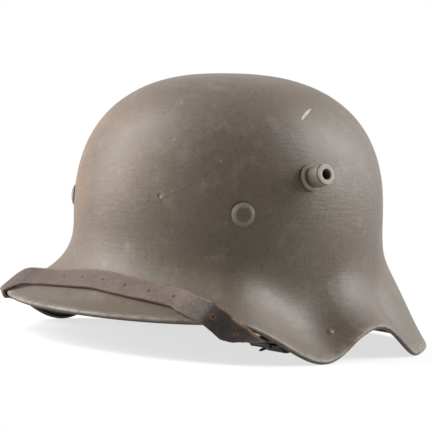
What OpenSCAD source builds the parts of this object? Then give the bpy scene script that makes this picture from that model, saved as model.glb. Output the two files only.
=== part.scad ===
// Steel helmet with a flared visor and neck guard, standing on its rim.
// The visor faces -Y, the wearer's left is +X and the crown is up.
// Everything is drawn as worn, with the band line level, and stand() sets it on its rim.
// A turn is an angle round the helmet in degrees: 0 at the brow, 90 at the left ear.

/* [Crown] */
// Depth of the band line ahead of the ears
front_len = 101; // [97:1:105]
// Depth of the band line behind the ears
rear_len = 125; // [120:1:130]
// Half the width of the band line
half_width = 95; // [92:1:98]
// Height of the band line, where the flare begins
band_line_z = 89; // [88:1:91]
// Height of the crown
crown_z = 183; // [178:1:188]
// Squareness of the dome, where 2 is an ellipse
dome_power = 2.45; // [2.3:0.05:2.6]
// Thickness of the steel
steel_t = 1.2; // [1:0.1:1.4]
// Diameter of the rolled rim
rim_bead_d = 3.2; // [3:0.1:3.6]

/* [Flare] */
// How far the visor stands out at the brow
flare_brow = 45; // [42:1:48]
// How far the flare stands out at the temples
flare_temple = 43; // [40:1:46]
// How far the flare stands out at the ears
flare_ear = 23; // [21:1:25]
// How far the flare stands out behind the ears
flare_back = 31; // [28:1:34]
// How far the neck guard stands out
flare_neck = 36; // [33:1:39]
// Slope of the visor at its rim, in degrees below level
slope_brow = 6; // [4:1:10]
// Slope of the flare at the ears
slope_ear = 32; // [28:1:36]
// Slope of the neck guard at its rim
slope_neck = 79; // [75:1:82]
// How straight the wall drops before it flares
wall_pull = 0.42; // [0.38:0.02:0.48]
// How straight the flare runs before its rim
rim_pull = 0.62; // [0.54:0.02:0.64]

/* [Rim line] */
// Height of the rim at the brow
rim_brow_z = 43.5; // [42:0.5:45]
// Height of the rim at the temple corner of the visor
rim_temple_z = 42; // [40.5:0.5:43.5]
// Height of the lowest point of the ear lobe
rim_lobe_z = 11.5; // [10:0.5:13]
// Height of the notch behind the ear lobe
rim_notch_z = 27; // [25:1:29]
// Height of the corner of the neck guard
rim_corner_z = 1; // [0:0.5:2]
// Height of the rim at the nape
rim_nape_z = -6; // [-7:0.5:-5]
// Turn at the temple corner
temple_turn = 43; // [41:1:45]
// Turn at the lowest point of the ear lobe
lobe_turn = 76; // [74:1:78]
// Turn at the notch
notch_turn = 98; // [96:1:100]
// Turn at the corner of the neck guard
corner_turn = 122; // [120:1:124]

/* [Ventilation lugs] */
// Turn of each lug
lug_turn = 80; // [78:0.5:82]
// Gap between the top of the liner band and the peened inner end of each lug
lug_gap = 1.4; // [0.6:0.2:3]
// Diameter of the collar against the shell
lug_collar_d = 17; // [16.5:0.5:18.5]
// Thickness of the collar
lug_collar_t = 3; // [2.5:0.5:3.5]
// Diameter of the middle ring
lug_ring_d = 14.4; // [14:0.2:15.6]
// Diameter of the outer end
lug_end_d = 12.8; // [12:0.2:13.6]
// Diameter of the vent hole
lug_bore_d = 6.4; // [6:0.2:7]
// Height of the whole lug above the shell
lug_len = 15.5; // [14.5:0.5:17]
// Diameter of the shank that passes through the shell
lug_shank_d = 11; // [10.4:0.2:11.6]

/* [Liner pins] */
// Turn of the front pins
pin_turn = 51.8; // [50:0.2:53]
// Height of the pins above the lower edge of the band
pin_up = 12.6; // [11:0.2:14]
// Diameter of the domed head
pin_head_d = 15; // [14:0.5:16]
// Height of the domed head
pin_head_h = 2.6; // [2.2:0.1:3]
// Diameter of the shank
pin_shank_d = 5; // [4.6:0.2:5.4]
// Length of each bent leg
pin_leg_len = 15; // [13:1:17]
// Side of the square washer
washer_side = 16; // [15:1:17]

/* [Liner] */
// Gap between the shell and the liner band at the band line
band_gap = 2.5; // [2.2:0.1:2.8]
// Thickness of the steel band
band_t = 1; // [0.8:0.1:1.2]
// Height of the lower edge of the band
band_low_z = 88; // [87:0.5:89]
// Width of the band
band_w = 25; // [24:0.5:26]
// Thickness of the leather pads
leather_t = 1.8; // [1.6:0.1:2]
// How far the pads reach below the band
pad_drop = 4; // [3:0.5:6]
// Height above the lower edge of the band where the fingers of a pad part
finger_root_up = 20; // [18:1:22]
// Height of the finger tips
finger_tip_z = 150; // [146:1:154]
// Distance from the shell to the back of the finger tips
finger_tip_gap = 17; // [15:1:19]
// Turn where the front pad ends
front_pad_turn = 43; // [41:1:44]
// Turn where the rear pads begin
rear_pad_turn = 58; // [57:1:60]
// Least gap between a cushion and the inner ends of the lugs
cushion_gap = 0.6; // [0.4:0.1:0.8]
// Diameter of the rivet heads of the pads
pad_rivet_d = 7; // [6:0.5:8]

/* [Chinstrap] */
// Width of the straps
strap_w = 15; // [14:0.5:16]
// Thickness of the straps
strap_t = 2.2; // [2:0.1:2.4]
// Distance from the hole the prong is in to the next one
first_hole = 32.5; // [31.5:0.5:34]
// Pitch of the holes in the strap
hole_pitch = 18.5; // [18:0.5:19]
// Diameter of the strap holes
hole_d = 2.8; // [2.4:0.2:3.2]
// Number of holes in the strap, not counting the one the prong is in
hole_count = 10; // [8:1:10]
// Turn of the bales that hold the strap
bale_turn = 90; // [88:1:92]
// Diameter of the bale wire
bale_wire_d = 2.6; // [2.4:0.1:2.8]
// Length of the bars of a bale
bale_w = 22; // [21:1:24]
// Drop from the upper bar of a bale to the lower one
bale_drop = 16; // [15:1:18]
// Diameter of the wire of the buckle
wire_d = 2.4; // [2.2:0.1:2.6]
// Distance between the two bars of the buckle
buckle_len = 16; // [15:0.5:17]
// Diameter of the buckle's roller
roller_d = 4.4; // [4:0.2:4.8]
// Slope of the buckle, down towards the ear
buckle_slope = 2; // [0:1:4]
// Length of strap past the heel bar of the buckle
tail_len = 3; // [2:1:5]
// Length of strap folded back at a bar and riveted
fold_len = 14; // [13:1:16]
// Diameter of the rivet heads on the strap
strap_rivet_d = 6; // [5.4:0.2:6.6]

/* [Hidden] */
$fn = 48;

// Colours that several pieces share
fitting_colour = [0.40, 0.38, 0.34];
washer_colour = [0.4, 0.4, 0.4];
rivet_colour = [0.5, 0.47, 0.4];

// Clearances
seat = 0.3;
fit = 0.1;
running = 0.05;

// Stations round the helmet, as turn and value
flare_line = [[0, flare_brow], [45, flare_temple], [90, flare_ear], [135, flare_back], [180, flare_neck]];
slope_line = [[0, slope_brow], [90, slope_ear], [180, slope_neck]];
rim_line = [
  [0, rim_brow_z], [temple_turn, rim_temple_z], [lobe_turn, rim_lobe_z],
  [notch_turn, rim_notch_z], [corner_turn, rim_corner_z], [180, rim_nape_z]
];

// Rows and meridians of the shell
dome_rows = 12;
flare_rows = 9;
half_turns = concat([for (t = [0:6:54]) t], [for (t = [60:4:136]) t], [for (k = [0:5]) 140 + 40 * k / 6]);
turns = concat(half_turns, [180], [for (i = [len(half_turns) - 1:-1:1]) -half_turns[i]]);
outer_rows = concat(
  [for (k = [1:dome_rows]) k / dome_rows],
  [for (k = [1:flare_rows]) 1 + k / flare_rows]
);
bead_angles = [45, 90, 135, 180, 225, 360 - acos(1 - 2 * steel_t / rim_bead_d)];

function unit(v) = v / norm(v);

// Value at a turn, eased between the stations on either side of it
function eased(line, turn) =
  let (
    a = abs(turn),
    k = max([for (i = [0:len(line) - 2]) if (a >= line[i][0]) i]),
    w = (1 - cos(180 * (a - line[k][0]) / (line[k + 1][0] - line[k][0]))) / 2
  )
  line[k][1] * (1 - w) + line[k + 1][1] * w;

function plan_depth(turn) = cos(turn) > 0 ? front_len : rear_len;
function plan_at(turn) = [half_width * sin(turn), -plan_depth(turn) * cos(turn), 0];
function outward(turn) = unit([sin(turn) / half_width, -cos(turn) / plan_depth(turn), 0]);
function sideways(turn) = cross([0, 0, 1], outward(turn));
function dome_share(z) = pow(max(z - band_line_z, 0) / (crown_z - band_line_z), dome_power / 2);
function dome_rise(z) = acos(dome_share(z));

function dome_at(turn, rise) =
  plan_at(turn) * pow(sin(rise), 2 / dome_power)
  + [0, 0, band_line_z + (crown_z - band_line_z) * pow(cos(rise), 2 / dome_power)];

function rim_at(turn) =
  plan_at(turn) + outward(turn) * eased(flare_line, turn) + [0, 0, eased(rim_line, turn)];

function flare_at(turn, v) =
  let (
    top = plan_at(turn) + [0, 0, band_line_z],
    rim = rim_at(turn),
    drop = band_line_z - rim.z,
    slope = eased(slope_line, turn),
    way = outward(turn) * cos(slope) - [0, 0, sin(slope)],
    upper = top - [0, 0, wall_pull * drop],
    lower = rim - way * rim_pull * norm([eased(flare_line, turn), drop])
  )
  pow(1 - v, 3) * top + 3 * pow(1 - v, 2) * v * upper + 3 * (1 - v) * v * v * lower + pow(v, 3) * rim;

// The outer skin, from the crown at row 0 through the band line at row 1 to the rim at row 2
function skin_at(turn, row) = row <= 1 ? dome_at(turn, 90 * row) : flare_at(turn, row - 1);
function normal_at(turn, row, step = 0.01) =
  unit(cross(
    skin_at(turn, row + step) - skin_at(turn, row - step),
    skin_at(turn + 1, row) - skin_at(turn - 1, row)
  ));
function inner_at(turn, row) = skin_at(turn, row) - normal_at(turn, row) * steel_t;

function rim_way(turn) = unit(skin_at(turn, 2.01) - skin_at(turn, 1.99));
function bead_at(turn, angle) =
  rim_at(turn)
  + (normal_at(turn, 2) * (cos(angle) - 1) + rim_way(turn) * sin(angle)) * rim_bead_d / 2;

shell_rows = concat(
  [for (row = outer_rows) [for (t = turns) skin_at(t, row)]],
  [for (angle = bead_angles) [for (t = turns) bead_at(t, angle)]],
  [for (k = [len(outer_rows) - 2:-1:0]) [for (t = turns) inner_at(t, outer_rows[k])]]
);

// A point beside the inner wall, the given distance in from it. Below the top of the liner band the
// line drops plumb, because the band is an upright hoop.
band_top_z = band_low_z + band_w;
function inside_at(turn, z, gap) =
  plan_at(turn) * pow(sin(dome_rise(max(z, band_top_z))), 2 / dome_power)
  - outward(turn) * (steel_t + gap) + [0, 0, z];

// The stand: the helmet leans until the ear lobes and the neck guard touch the table
lobe = bead_at(lobe_turn, 135);
stand_pitch = -atan(min([for (t = [lobe_turn + 15:5:180])
  (bead_at(t, 135).z - lobe.z) / (bead_at(t, 135).y - lobe.y)]));
function leaned(p) = [
  p.x,
  p.y * cos(stand_pitch) - p.z * sin(stand_pitch),
  p.y * sin(stand_pitch) + p.z * cos(stand_pitch)
];
shell_leaned = [for (row = shell_rows) for (p = row) leaned(p)];
stand_z = -min([for (p = shell_leaned) p.z]);
stand_y = -(min([for (p = shell_leaned) p.y]) + max([for (p = shell_leaned) p.y])) / 2;

module stand() {
  translate([0, stand_y, stand_z]) rotate([stand_pitch, 0, 0]) children();
}

// Solid of closed rows of points, with a point at each end
module capped_rows(rows, first, last) {
  n = len(rows[0]);
  m = len(rows);
  points = concat([for (row = rows) each row], [first, last]);
  faces = concat(
    [for (j = [0:n - 1]) [n * m, (j + 1) % n, j]],
    [for (i = [0:m - 2]) for (j = [0:n - 1]) each quad(n * i + j, n * i + (j + 1) % n, n)],
    [for (j = [0:n - 1]) [n * (m - 1) + j, n * (m - 1) + (j + 1) % n, n * m + 1]]
  );
  polyhedron(points, faces);
}

// Two triangles between two neighbours in a row and the pair below them
function quad(a, b, n) = [[a, b, b + n], [a, b + n, a + n]];
function split(a, b, c, d) = [[a, b, c], [a, c, d]];

// Solid between a front grid of points and the matching grid behind it
module slab(front, back) {
  m = len(front);
  n = len(front[0]);
  s = m * n;
  points = concat([for (row = front) each row], [for (row = back) each row]);
  faces = concat(
    [for (i = [0:m - 2]) for (j = [0:n - 2]) each quad(n * i + j, n * i + j + 1, n)],
    [for (i = [0:m - 2]) for (j = [0:n - 2])
      each split(s + n * i + j + 1, s + n * i + j, s + n * i + j + n, s + n * i + j + 1 + n)],
    [for (j = [0:n - 2]) each split(s + j, s + j + 1, j + 1, j)],
    [for (j = [0:n - 2]) let (e = n * (m - 1) + j) each split(e, e + 1, s + e + 1, s + e)],
    [for (i = [0:m - 2]) let (e = n * i) each split(s + e, e, e + n, s + e + n)],
    [for (i = [0:m - 2]) let (e = n * i + n - 1) each split(e, s + e, s + e + n, e + n)]
  );
  polyhedron(points, faces);
}

// Flat strap through stations, each a centre and the direction of the section across the strap. A
// section may lie aslant to the run, as at an oblique fold.
module ribbon(stations, width, thick) {
  n = len(stations);
  sections = [for (i = [0:n - 1])
    let (
      c = stations[i][0],
      way = unit(stations[min(i + 1, n - 1)][0] - stations[max(i - 1, 0)][0]),
      aslant = unit(stations[i][1]),
      up = unit(cross(way, aslant)) * thick / 2,
      across = aslant * width / 2 / norm(cross(way, aslant))
    )
    [c + across + up, c + across - up, c - across - up, c - across + up]];
  last = 4 * (n - 1);
  faces = concat(
    split(3, 2, 1, 0),
    [for (i = [0:n - 2]) for (k = [0:3])
      each split(4 * i + k, 4 * i + (k + 1) % 4, 4 * i + 4 + (k + 1) % 4, 4 * i + 4 + k)],
    split(last, last + 1, last + 2, last + 3)
  );
  polyhedron([for (s = sections) each s], faces);
}

// Smooth run through a list of stations
function smooth_pair(a, b, c, d, t) =
  (2 * b + (c - a) * t + (2 * a - 5 * b + 4 * c - d) * t * t + (3 * b - a - 3 * c + d) * t * t * t) / 2;
function smooth_run(list, steps) =
  let (n = len(list))
  concat(
    [for (i = [0:n - 2]) for (k = [0:steps - 1])
      let (
        a = list[max(i - 1, 0)],
        b = list[i],
        c = list[i + 1],
        d = list[min(i + 2, n - 1)],
        t = k / steps
      )
      [smooth_pair(a[0], b[0], c[0], d[0], t), smooth_pair(a[1], b[1], c[1], d[1], t)]],
    [list[n - 1]]
  );

// Turns the z axis along a direction, with x pointing down the slope and y level
module facing(point, way) {
  translate(point) rotate([0, acos(way.z), atan2(way.y, way.x)]) children();
}

// Ventilation lugs, over the liner band
lug_peen_d = lug_shank_d + 3.4;
lug_z = band_top_z + lug_peen_d / 2 + lug_gap;
lug_row = dome_rise(lug_z) / 90;
function lug_place(side) = skin_at(side * lug_turn, lug_row);
function lug_way(side) = normal_at(side * lug_turn, lug_row);
lug_groove_h = 3;
lug_end_h = 1.5;
lug_ring_h = lug_len - lug_collar_t - lug_groove_h - lug_end_h;
lug_washer_t = 1;
lug_washer_d = lug_peen_d + 5;
// The washer is flat and the wall bows away from it, by this much at the washer's edge
lug_row_step = 0.05 * lug_washer_d / norm(skin_at(lug_turn, lug_row + 0.05) - skin_at(lug_turn, lug_row - 0.05));
lug_bow = max([for (row = [lug_row - lug_row_step, lug_row + lug_row_step])
  (lug_place(1) - skin_at(lug_turn, row)) * lug_way(1)]);
lug_inside = steel_t + lug_bow + seat;
lug_peen_h = 1.6;
lug_reach = lug_inside - steel_t + lug_washer_t + lug_peen_h;

module lug_axis(side) {
  facing(lug_place(side), lug_way(side)) children();
}

module vent_lug(side) {
  groove_d = lug_end_d - 1.4;
  ring_low = lug_collar_t + lug_groove_h;
  ring_top = ring_low + lug_ring_h;
  washer_top = -lug_inside;
  color(fitting_colour) lug_axis(side)
    rotate_extrude($fn = 64)
      polygon([
        [lug_bore_d / 2, washer_top - lug_washer_t - lug_peen_h],
        [lug_peen_d / 2 - 0.8, washer_top - lug_washer_t - lug_peen_h],
        [lug_peen_d / 2, washer_top - lug_washer_t],
        [lug_shank_d / 2, washer_top - lug_washer_t],
        [lug_shank_d / 2, fit],
        [lug_collar_d / 2, fit],
        [lug_collar_d / 2, lug_collar_t - 0.8],
        [lug_collar_d / 2 - 0.8, lug_collar_t],
        [groove_d / 2, lug_collar_t],
        [groove_d / 2, ring_low],
        [lug_ring_d / 2, ring_low],
        [lug_ring_d / 2, ring_top - 0.6],
        [lug_ring_d / 2 - 0.6, ring_top],
        [lug_end_d / 2, ring_top],
        [lug_end_d / 2, lug_len - 0.5],
        [lug_end_d / 2 - 0.5, lug_len],
        [lug_bore_d / 2, lug_len]
      ]);
}

module lug_washers() {
  color(washer_colour) for (side = [-1, 1]) lug_axis(side)
    translate([0, 0, -lug_inside - lug_washer_t])
      difference() {
        cylinder(d = lug_washer_d, h = lug_washer_t);
        translate([0, 0, -1]) cylinder(d = lug_shank_d + 2 * fit, h = lug_washer_t + 2);
      }
}

// Liner pins: a domed head outside, a shank through the shell and the band, and two bent legs
pin_z = band_low_z + pin_up;
pin_row = dome_rise(pin_z) / 90;
pin_turns = [pin_turn, -pin_turn, 180];
pin_leg_t = 1.2;
washer_t = 1;
function pin_place(turn) = skin_at(turn, pin_row);
// The axis is level and the wall slopes, so the head seats on its lower edge
function pin_seat(turn) =
  (skin_at(turn, dome_rise(pin_z - pin_head_d / 2) / 90) - pin_place(turn)) * outward(turn) + fit;
// From the skin to the washer, which is flat and meets the curved band at two edges
function pin_depth(turn) =
  let (
    gap = band_gap + band_t,
    step = washer_side / norm(inside_at(turn + 1, pin_z, gap) - inside_at(turn - 1, pin_z, gap)),
    edges = [for (t = [turn - step, turn + step]) inside_at(t, pin_z, gap)]
  )
  max([for (edge = edges) (pin_place(turn) - edge) * outward(turn)]) + seat;

module pin_axis(turn) {
  facing(pin_place(turn), outward(turn)) children();
}

module liner_pin(turn) {
  low = -pin_depth(turn) - washer_t - fit;
  color(fitting_colour) pin_axis(turn) {
    translate([0, 0, pin_seat(turn)])
      rotate_extrude($fn = 64)
        polygon([
          [0, 0], [pin_head_d / 2, 0], [pin_head_d / 2, 0.7],
          [pin_head_d / 2 - 2.2, pin_head_h - 0.5], [pin_head_d / 4, pin_head_h - 0.1], [0, pin_head_h]
        ]);
    translate([0, 0, low - pin_leg_t])
      cylinder(d = pin_shank_d, h = pin_leg_t - low + pin_seat(turn) + pin_head_h / 2);
    translate([-pin_leg_len, -pin_shank_d / 2, low - pin_leg_t])
      cube([2 * pin_leg_len, pin_shank_d, pin_leg_t]);
  }
}

module pin_washers() {
  color(washer_colour) for (turn = pin_turns) pin_axis(turn)
    translate([0, 0, -pin_depth(turn) - washer_t])
      difference() {
        translate([-washer_side / 2, -washer_side / 2, 0]) cube([washer_side, washer_side, washer_t]);
        translate([0, 0, -1]) cylinder(d = pin_shank_d + 2 * fit, h = washer_t + 2);
      }
}

module shell() {
  color([0.42, 0.40, 0.35])
    difference() {
      capped_rows(shell_rows, [0, 0, crown_z], [0, 0, crown_z - steel_t]);
      for (side = [-1, 1]) lug_axis(side)
        translate([0, 0, -10]) cylinder(d = lug_shank_d + 2 * fit, h = 20);
      for (turn = pin_turns) pin_axis(turn)
        translate([0, 0, -10]) cylinder(d = pin_shank_d + 2 * fit, h = 20);
    }
}

// Liner band, a steel hoop inside the wall
band_points = 72;
function band_outline(gap) = [for (k = [0:band_points - 1])
  let (p = inside_at(360 * k / band_points - 180, band_low_z, gap)) [p.x, p.y]];
function rivet_turns(first, last, count) =
  [for (k = [0:count - 1]) first + (last - first) * k / (count - 1)];
// The rear pads end beside the washer of the rear pin
pad_end_gap = 1.7;
rear_pad_end = 180 - asin((washer_side / 2 + pad_end_gap) / half_width);
rivet_edge = 6;
front_rivets = rivet_turns(-front_pad_turn + rivet_edge, front_pad_turn - rivet_edge, 4);
rear_rivets = rivet_turns(rear_pad_turn + rivet_edge, rear_pad_end - rivet_edge, 4);
all_rivets = concat(front_rivets, rear_rivets, [for (t = rear_rivets) -t]);
rivet_z = band_low_z + 6;
rivet_shank_d = 2.6;

module band_axis(turn, z) {
  facing(inside_at(turn, z, band_gap), outward(turn)) children();
}

module liner_band() {
  color([0.36, 0.36, 0.35])
    difference() {
      translate([0, 0, band_low_z]) linear_extrude(band_w)
        difference() {
          polygon(band_outline(band_gap));
          polygon(band_outline(band_gap + band_t));
        }
      for (turn = pin_turns) pin_axis(turn)
        translate([0, 0, -12]) cylinder(d = pin_shank_d + 2 * fit, h = 12);
      for (turn = all_rivets) band_axis(turn, rivet_z)
        translate([0, 0, -4]) cylinder(d = rivet_shank_d + 2 * fit, h = 8);
      for (side = [-1, 1]) for (along = [-tab_rivet_out, tab_rivet_out]) tab_rivet_axis(side, along)
        translate([0, 0, -4]) cylinder(d = tab_rivet_d + 2 * fit, h = 8);
    }
}

// Leather pads, each with two fingers that lean in towards the crown
pad_gap = band_gap + band_t + seat;
finger_open = 0.8;
finger_root_z = band_low_z + finger_root_up;
bend_z = rivet_z + pad_rivet_d / 2 + 2.5;
function pad_back_gap(z) =
  let (w = max(0, min(1, (z - bend_z) / (finger_tip_z - bend_z))))
  pad_gap + (finger_tip_gap - pad_gap) * w * w * (3 - 2 * w);
function pad_back(turn, z) = inside_at(turn, z, pad_back_gap(z));
function pad_face(turn, z) = inside_at(turn, z, pad_back_gap(z) + leather_t);

// Tongue outline: how high the leather reaches at a turn across one finger
function finger_reach(w) = pow(max(0, 1 - pow(abs(w), 3)), 0.5);
function pad_columns(first, last, per_finger = 11) =
  let (mid = (first + last) / 2, half = (last - first) / 4)
  [for (f = [0:1]) for (k = [0:per_finger - 1])
    let (w = -sin(90 - 180 * k / (per_finger - 1)), centre = f == 0 ? mid - half : mid + half)
    [centre + w * (half - finger_open), finger_reach(w)]];

module pad(first, last) {
  columns = pad_columns(first, last);
  rows = 9;
  heights = [for (k = [0:rows]) [for (c = columns)
    let (top = finger_root_z + (finger_tip_z - finger_root_z) * c[1])
    top + (pad_low_z - top) * k / rows]];
  back = [for (k = [0:rows]) [for (j = [0:len(columns) - 1]) pad_back(columns[j][0], heights[k][j])]];
  face = [for (k = [0:rows]) [for (j = [0:len(columns) - 1]) pad_face(columns[j][0], heights[k][j])]];
  color([0.45, 0.30, 0.18])
    difference() {
      slab(back, face);
      for (turn = all_rivets) if (abs(turn - (first + last) / 2) < (last - first) / 2)
        band_axis(turn, rivet_z) translate([0, 0, -8]) cylinder(d = rivet_shank_d + 2 * fit, h = 10);
    }
}

module pad_rivets() {
  inner = band_t + seat + leather_t + seat;
  color(rivet_colour) for (turn = all_rivets) band_axis(turn, rivet_z) {
    translate([0, 0, fit]) cylinder(d = pad_rivet_d - 1, h = 0.8);
    translate([0, 0, -inner - 0.5]) cylinder(d = rivet_shank_d, h = inner + 1);
    translate([0, 0, -inner]) mirror([0, 0, 1])
      rotate_extrude($fn = 32)
        polygon([[0, 0], [pad_rivet_d / 2, 0], [pad_rivet_d / 2 - 1, 0.9], [0, 1.3]]);
  }
}

// Cushions, each in the space between a pair of fingers and the shell
cushion_low_z = band_top_z + 2;
cushion_top_z = finger_tip_z - 4;
module cushion(first, last) {
  cols = 15;
  rows = 8;
  inset = 4;
  turn_at = [for (j = [0:cols])
    first + inset + (last - first - 2 * inset) * (1 - cos(180 * j / cols)) / 2];
  z_at = [for (k = [0:rows])
    cushion_top_z + (cushion_low_z - cushion_top_z) * (1 - cos(180 * k / rows)) / 2];
  crown = [for (k = [0:rows]) [for (j = [0:cols])
    pow(max(0, sin(180 * j / cols)), 0.5) * pow(max(0, sin(180 * k / rows)), 0.5)]];
  function at(j, k, share) =
    let (z = z_at[k], back = pad_back_gap(z) - 2 * seat, room = back - lug_reach - cushion_gap)
    inside_at(turn_at[j], z, back - room * share);
  front = [for (k = [0:rows]) [for (j = [0:cols]) at(j, k, 0.28 + 0.68 * crown[k][j])]];
  back = [for (k = [0:rows]) [for (j = [0:cols]) at(j, k, 0.16 * (1 - crown[k][j]))]];
  color([0.62, 0.57, 0.47]) slab(front, back);
}

// Bales: wire loops that hang from sleeves riveted to the band
bale_gap = 7.8;
function bale_point(side, z) = inside_at(side * bale_turn, z, bale_gap);
tab_t = 0.9;
bale_r = bale_wire_d / 2;
pad_low_z = band_low_z - pad_drop;
sleeve_r = bale_r + running + tab_t;
bale_top_z = pad_low_z - sleeve_r - seat - 0.1;
bale_low_z = bale_top_z - bale_drop;
tab_w = 13;
tab_rivet_out = 4;
tab_rivet_d = 2.4;

// Local frame of a bale: x outward, y along the bar, z up
module bale_frame(side) {
  turn = side * bale_turn;
  p = bale_point(side, bale_top_z);
  translate(p) rotate([0, 0, atan2(outward(turn).y, outward(turn).x)]) children();
}

module bale(side) {
  r = bale_r;
  color([0.30, 0.30, 0.29]) bale_frame(side) {
    for (z = [0, -bale_drop]) translate([0, -bale_w / 2, z])
      rotate([-90, 0, 0]) cylinder(r = r, h = bale_w);
    for (y = [-bale_w / 2, bale_w / 2]) {
      translate([0, y, -bale_drop]) cylinder(r = r, h = bale_drop);
      for (z = [0, -bale_drop]) translate([0, y, z]) sphere(r = r);
    }
  }
}

// The tab lies outside the band and turns in under the pads to wrap the upper bar of the bale
tab_out = bale_gap - band_gap + fit;
tab_rivet_up = band_low_z + 9 - bale_top_z;
module bale_tab(side) {
  color([0.36, 0.36, 0.35]) bale_frame(side)
    difference() {
      union() {
        translate([0, -tab_w / 2, 0]) rotate([-90, 0, 0]) cylinder(r = sleeve_r, h = tab_w);
        translate([0, -tab_w / 2, sleeve_r - tab_t]) cube([tab_out + tab_t, tab_w, tab_t]);
        translate([tab_out, -tab_w / 2, sleeve_r - tab_t])
          cube([tab_t, tab_w, tab_rivet_up + 5 - sleeve_r]);
      }
      translate([0, -tab_w, 0]) rotate([-90, 0, 0]) cylinder(r = bale_r + running, h = 2 * tab_w);
      for (y = [-tab_rivet_out, tab_rivet_out]) translate([0, y, tab_rivet_up])
        rotate([0, 90, 0]) cylinder(d = tab_rivet_d + 2 * fit, h = tab_out + 5);
    }
}
module tab_rivet_axis(side, along) {
  bale_frame(side) translate([tab_out, along, tab_rivet_up]) rotate([0, 90, 0]) children();
}

// Small rivets that hold the tabs to the band
module tab_rivets() {
  deep = fit + band_t + fit;
  color(rivet_colour)
    for (side = [-1, 1]) for (along = [-tab_rivet_out, tab_rivet_out]) tab_rivet_axis(side, along) {
      translate([0, 0, -deep - 0.1]) cylinder(d = tab_rivet_d, h = deep + tab_t + 0.3);
      translate([0, 0, tab_t + 0.1]) cylinder(d = tab_rivet_d + 1.6, h = 0.4);
    }
}

// The buckle lies level under the rim of the left temple, with its bars along x
heel_turn = 64;
heel_in = 28;
heel_drop = -1;
wire_r = wire_d / 2;
side_out = strap_w / 2 + 0.8 + wire_r;
function temple_heel(side) =
  rim_at(side * heel_turn) - outward(side * heel_turn) * heel_in - [0, 0, heel_drop];
roller_y = -buckle_len * cos(buckle_slope);
roller_z = buckle_len * sin(buckle_slope);
front_r = wire_r - 0.2;

module buckle_place() {
  translate(temple_heel(1)) children();
}

module x_rod(radius, length) {
  rotate([0, 90, 0]) cylinder(r = radius, h = length, center = true);
}

module buckle_frame() {
  plate = wire_r + 0.4;
  color([0.25, 0.24, 0.23]) buckle_place() {
    x_rod(wire_r, 2 * side_out);
    translate([0, roller_y, roller_z]) x_rod(front_r, 2 * side_out);
    for (x = [-side_out, side_out]) rotate([-buckle_slope, 0, 0])
      translate([x - wire_r, -buckle_len - plate, -plate])
        cube([wire_d, buckle_len + 2 * plate, 2 * plate]);
  }
}

module buckle_roller() {
  color([0.33, 0.32, 0.31]) buckle_place() translate([0, roller_y, roller_z])
    difference() {
      x_rod(roller_d / 2, strap_w + 1);
      x_rod(front_r + running, strap_w + 4);
    }
}

// Prong: an eye on the heel bar and a rod that rests on the roller's lower side
prong_w = 2.4;
prong_r = prong_w / 2 - 0.3;
prong_eye_r = wire_r + running + 1;
prong_len = buckle_len + 1.5;
prong_drop = asin((roller_d / 2 + seat + prong_r) / buckle_len) - buckle_slope;
prong_cross = 7;
prong_hole_r = prong_r + 0.8;
prong_hole_len = 8;
module prong_axis(along) {
  buckle_place() rotate([90 + prong_drop, 0, 0]) translate([0, 0, along]) children();
}
module buckle_prong() {
  color([0.33, 0.32, 0.31]) buckle_place()
    difference() {
      union() {
        x_rod(prong_eye_r, prong_w);
        rotate([90 + prong_drop, 0, 0]) {
          cylinder(r = prong_r, h = prong_len);
          translate([0, 0, prong_len]) sphere(r = prong_r);
        }
      }
      x_rod(wire_r + running, prong_w + 2);
    }
}

// Strap over the visor, along a line between the wall and the rim
strap_lift = strap_t / 2 + 1.15;
function visor_line(turn) = 1.6 + 0.22 * pow(abs(turn) / 36, 1.5);
function visor_station(turn, row) =
  let (across = unit(skin_at(turn, row - 0.05) - skin_at(turn, row + 0.05)))
  [skin_at(turn, row) + normal_at(turn, row) * strap_lift, across];
function on_line(turn) = visor_station(turn, visor_line(turn));

// Stations of the slack left side, round the temple corner and under the rim: turn, distance out
// from the rim, height above it, and the direction across the strap, as outward, along the rim, up
left_temple = [
  [31, -18.2, 9.6, [-0.65, 0.5, 0.57]],
  [34.5, -8.9, 8, [-0.44, 0.62, 0.65]],
  [37.5, -1.8, 6.6, [-0.38, 0.56, 0.73]],
  [40, 3.7, 4.6, [-0.34, 0.55, 0.76]],
  [42.4, 5.4, 0.2, [-0.15, 0.53, 0.84]],
  [44.4, 3, -4.4, [0.2, 0.41, 0.89]],
  [46, 1.1, -6.1, [0.4, 0.4, 0.82]],
  [47.5, -0.8, -7.2, [0.6, 0.37, 0.71]],
  [49, -2.8, -7.8, [0.76, 0.37, 0.53]],
  [50.5, -5, -8.4, [0.87, 0.34, 0.36]],
  [52.2, -9.5, -8.6, [0.93, 0.3, 0.2]],
  [54.2, -14.5, -8.2, [0.8, 0.58, 0.12]]
];
function rim_frame(turn, v) = outward(turn) * v[0] + sideways(turn) * v[1] + [0, 0, v[2]];
function temple_station(s) = [rim_at(s[0]) + rim_frame(s[0], [s[1], 0, s[2]]), rim_frame(s[0], s[3])];

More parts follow.
